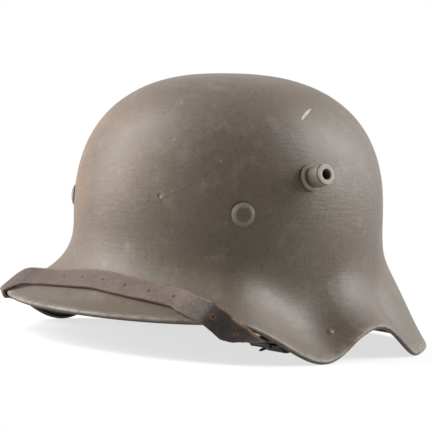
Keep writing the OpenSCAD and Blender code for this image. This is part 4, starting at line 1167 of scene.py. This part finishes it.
def strap_section():
    """Outline of the strap's section: across and up from its middle, in millimetres."""
    half_w, half_t, r = STRAP_W / 2, STRAP_T / 2, 0.75
    flat = np.linspace(-(half_w - r), half_w - r, STRAP_SIDES)
    arc = np.radians(np.linspace(0, 90, 5))[1:-1]
    top = [[x, half_t] for x in flat]
    right = [[half_w - r + r * math.sin(a), half_t - r + r * math.cos(a)] for a in arc]
    low_right = [[x, -y] for x, y in right[::-1]]
    bottom = [[x, -half_t] for x in flat[::-1]]
    low_left = [[-x, y] for x, y in low_right[::-1]]
    left = [[-x, y] for x, y in right[::-1]]
    return np.array(top + right + low_right + bottom + low_left + left)


def marks_along(centres):
    """How far along a route each of its points lies."""
    return np.concatenate([[0], np.cumsum(np.linalg.norm(np.diff(centres, axis=0), axis=1))])


def build_strap(name, stations, cutters, holes, stands_for, darkness):
    centres, acrosses = smooth_run(stations)
    ways = unit(np.gradient(centres, axis=0))
    acrosses = unit(acrosses)
    skew = np.linalg.norm(np.cross(ways, acrosses), axis=1)[:, None]
    ups = unit(np.cross(ways, acrosses))
    section = strap_section()
    sections = []
    for k, (c, across, up, s) in enumerate(zip(centres, acrosses, ups, skew)):
        swell = 1 + 0.03 * math.sin(k * 0.11) + 0.02 * math.sin(k * 0.37)
        sections.append(c + section[:, :1] * across / s + section[:, 1:] * up * swell)
    points, faces = sweep(centres, sections)
    strap = piece(name, points, faces, STRAP_LEATHER, stands_for=stands_for, sharp=50)
    share = section[:, 0] / (STRAP_W / 2)
    upper = share * np.where(acrosses[:, 2:] > 0, 1, -1)
    cut = 0.5 * np.clip((np.abs(upper) - 0.93) / 0.06, 0, 1)
    add_attribute(strap, "edge", np.maximum(cut, np.clip((upper - 0.80) / 0.12, 0, 1)).ravel())
    add_attribute(strap, "dark", np.repeat(darkness(marks_along(centres)), len(section)))
    drill(strap, cutters)
    strap.data.set_sharp_from_angle(angle=math.radians(50))
    at = np.empty(len(strap.data.vertices) * 3, np.float32)
    strap.data.vertices.foreach_get("co", at)
    at = at.reshape(-1, 3)
    gap = np.min([np.linalg.norm(at - to_scene(h), axis=1) for h in holes], 0) * 1000
    add_attribute(strap, "halo", np.clip(1 - (gap - 1.2) / 1.6, 0, 1))
    # Painted shade down the walls of the holes
    add_attribute(strap, "bore", np.clip(1 - (gap - 1.55) / 0.25, 0, 1))


FIRST_HOLE, HOLE_PITCH, HOLE_COUNT, HOLE_D = 32.5, 18.5, 10, 2.8
STRAP_RIVET_AT = FOLD_LEN - 4


def build_straps():
    route = long_route()
    centres, acrosses = smooth_run(route)
    marks = marks_along(centres)
    prong_at = marks[np.argmin(np.linalg.norm(centres - route[-5][0], axis=1))]
    cutters, holes = [], []
    for k in range(HOLE_COUNT):
        i = np.argmin(np.abs(marks - (prong_at - FIRST_HOLE - k * HOLE_PITCH)))
        way = np.cross(centres[i + 1] - centres[i - 1], acrosses[i])
        cutters.append((facing(centres[i], way), HOLE_D / 2, STRAP_T + 2))
        holes.append(centres[i])
    cutters.append((facing(temple_heel(1) + PRONG_WAY * PRONG_CROSS, PRONG_WAY), PRONG_R + 0.8, 8))
    length = marks[-1]

    # How dark the strap is along its length: partly its own tone, partly painted shade
    def darkness(at):
        before_end = np.array([length, length - 120, 212, 170, 135, 112, 92, 80, 0])
        return np.interp(at, length - before_end, [0.85, 0.6, 0.5, 0.35, 0.05, 0.3, 0.8, 0.92, 1])

    build_strap("chinstrap_leather", route, cutters, holes, ["chinstrap"], darkness)
    slot_at = temple_heel(1) - HEEL_BACK * 3
    short_cutters = [(facing(slot_at + HEEL_BACK * k * 1.2, HEEL_UP), 1.6, 10) for k in range(3)]
    build_strap("short_strap_leather", short_route(), short_cutters, [slot_at], ["short_strap"],
                lambda at: np.full(len(at), 0.8))


def build_strap_rivets():
    out = STRAP_T + SEAT / 2 + SEAT
    heel_place = temple_heel(1) + HEEL_BACK * STRAP_RIVET_AT
    sets = [
        ("rivet_right_bale", bale_bar(-1) - [0, 0, STRAP_RIVET_AT], side_out(-1)),
        ("rivet_left_bale", bale_bar(1) - [0, 0, STRAP_RIVET_AT], side_out(1)),
        ("rivet_buckle", heel_place, HEEL_UP),
    ]
    for name, place, way in sets:
        parts = [revolved([[1.3, -out - 0.3], [1.3, out + 0.3]], facing(place, way), 20)]
        for s in (-1, 1):
            head = [[0, 0]] + dome_head(3.0, 0.55)
            parts.append(revolved(head, facing(place + s * way * out, s * way), 32))
        points, faces = joined(parts)
        piece(name + "_heads", points, faces, RIVET_METAL, stands_for=[name])


def dress_cad_nodes():
    """CAD pieces whose shape is right keep it, with rounded edges and their own finish."""
    finishes = {"lug_washers": WASHER_STEEL, "pin_washers": WASHER_STEEL, "bale_tab_left": BAND_STEEL,
                "bale_tab_right": BAND_STEEL, "tab_rivets": RIVET_METAL}
    for name, material in finishes.items():
        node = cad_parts[name]
        for index in range(len(node.material_slots)):
            node.material_slots[index].material = material
        bevel = node.modifiers.new("edges", "BEVEL")
        bevel.width, bevel.segments, bevel.limit_method = 0.00018, 2, "ANGLE"
        bevel.angle_limit = math.radians(40)


build_shell()
build_lug(1, "vent_lug_left")
build_lug(-1, "vent_lug_right")
for pin_turn, pin_name in zip(PIN_TURNS, ("liner_pin_left", "liner_pin_right", "liner_pin_rear")):
    build_pin(pin_turn, pin_name)
build_band()
build_pad_rivets()
for first, last, place in ((-FRONT_PAD, FRONT_PAD, "front"), (REAR_PAD, REAR_END, "rear_left"),
                           (-REAR_END, -REAR_PAD, "rear_right")):
    build_pad(first, last, "pad_" + place)
    build_cushion(first, last, "cushion_" + place)
build_bale(1, "bale_left")
build_bale(-1, "bale_right")
build_buckle()
build_straps()
build_strap_rivets()
dress_cad_nodes()


# Camera, floor, lamps and world

def set_camera():
    back, right, up = (lean(v) for v in camera_axes())
    data = bpy.data.cameras.new("camera")
    camera = linked("camera", data)
    place = to_scene(TARGET) + back * CAMERA["distance"] / 1000
    turned = Matrix([right, up, back]).transposed().to_4x4()
    camera.matrix_world = Matrix.Translation(Vector(place)) @ turned
    data.sensor_width = 36
    data.lens = CAMERA["focal_px"] / FRAME_PX * 36
    data.shift_x = (FRAME_PX / 2 - TARGET_PX[0]) / FRAME_PX
    data.shift_y = (TARGET_PX[1] - FRAME_PX / 2) / FRAME_PX
    bpy.context.scene.camera = camera


# In metres, just under the lowest point of the pressed rim
FLOOR_Z = -0.0002


def set_floor():
    """A pale floor whose far reaches are plain white to the camera, with the shadow kept near the object."""
    mesh = bpy.data.meshes.new("floor")
    size, low = 12, FLOOR_Z
    corners = [(-size, -size, low), (size, -size, low), (size, size, low), (-size, size, low)]
    mesh.from_pydata(corners, [], [(0, 1, 2, 3)])
    floor = linked("floor", mesh)
    f = Finish("floor")
    away = f.add("ShaderNodeVectorMath", {0: f.place}, operation="LENGTH").outputs["Value"]
    plain = f.ramp(away, 0.16, 0.42)
    white = f.times(f.most(plain, 0.7), f.seen_directly())
    diffuse = f.add("ShaderNodeBsdfDiffuse", {"Color": (0.86, 0.86, 0.86, 1)})
    glow = f.add("ShaderNodeEmission", {"Color": (1, 1, 1, 1), "Strength": 1.0})
    mixed = f.add("ShaderNodeMixShader", {0: white, 1: diffuse.outputs[0], 2: glow.outputs[0]})
    f.add("ShaderNodeOutputMaterial", {"Surface": mixed.outputs[0]})
    mesh.materials.append(f.material)


# Soft boxes: degrees to the right of the camera, degrees above level, size and distance in metres, watts
LAMPS = {
    "soft_left": (-86, 28, (0.9, 1.7), 1.3, 57),
    "soft_right": (104, 30, (0.8, 1.1), 1.3, 31),
    "soft_top": (-10, 80, (1.0, 1.0), 1.6, 1.0),
}


def set_lamps():
    for name, (turn, rise, size, distance, power) in LAMPS.items():
        a, e = math.radians(CAMERA["azimuth"] + turn), math.radians(rise)
        way = np.array([math.sin(a) * math.cos(e), -math.cos(a) * math.cos(e), math.sin(e)])
        data = bpy.data.lights.new(name, "AREA")
        data.shape, data.size, data.size_y, data.energy = "RECTANGLE", size[0], size[1], power
        lamp = linked(name, data)
        place = Vector((0, 0, 0.09)) + Vector(way) * distance
        aim = Vector(way).to_track_quat("Z", "Y").to_matrix().to_4x4()
        lamp.matrix_world = Matrix.Translation(place) @ aim


def set_world():
    """White to the camera and in reflections, and a faint fill light on the object."""
    world = bpy.data.worlds.new("studio")
    f = Finish("studio", world)
    soft, white = (f.add("ShaderNodeBackground", {"Color": (1, 1, 1, 1), "Strength": strength}).outputs[0]
                   for strength in (0.03, 1.0))
    mixed = f.add("ShaderNodeMixShader", {0: f.seen_directly(), 1: soft, 2: white})
    f.add("ShaderNodeOutputWorld", {"Surface": mixed.outputs[0]})
    bpy.context.scene.world = world


set_camera()
set_floor()
set_lamps()
set_world()
bpy.context.scene.view_settings.view_transform = "Standard"
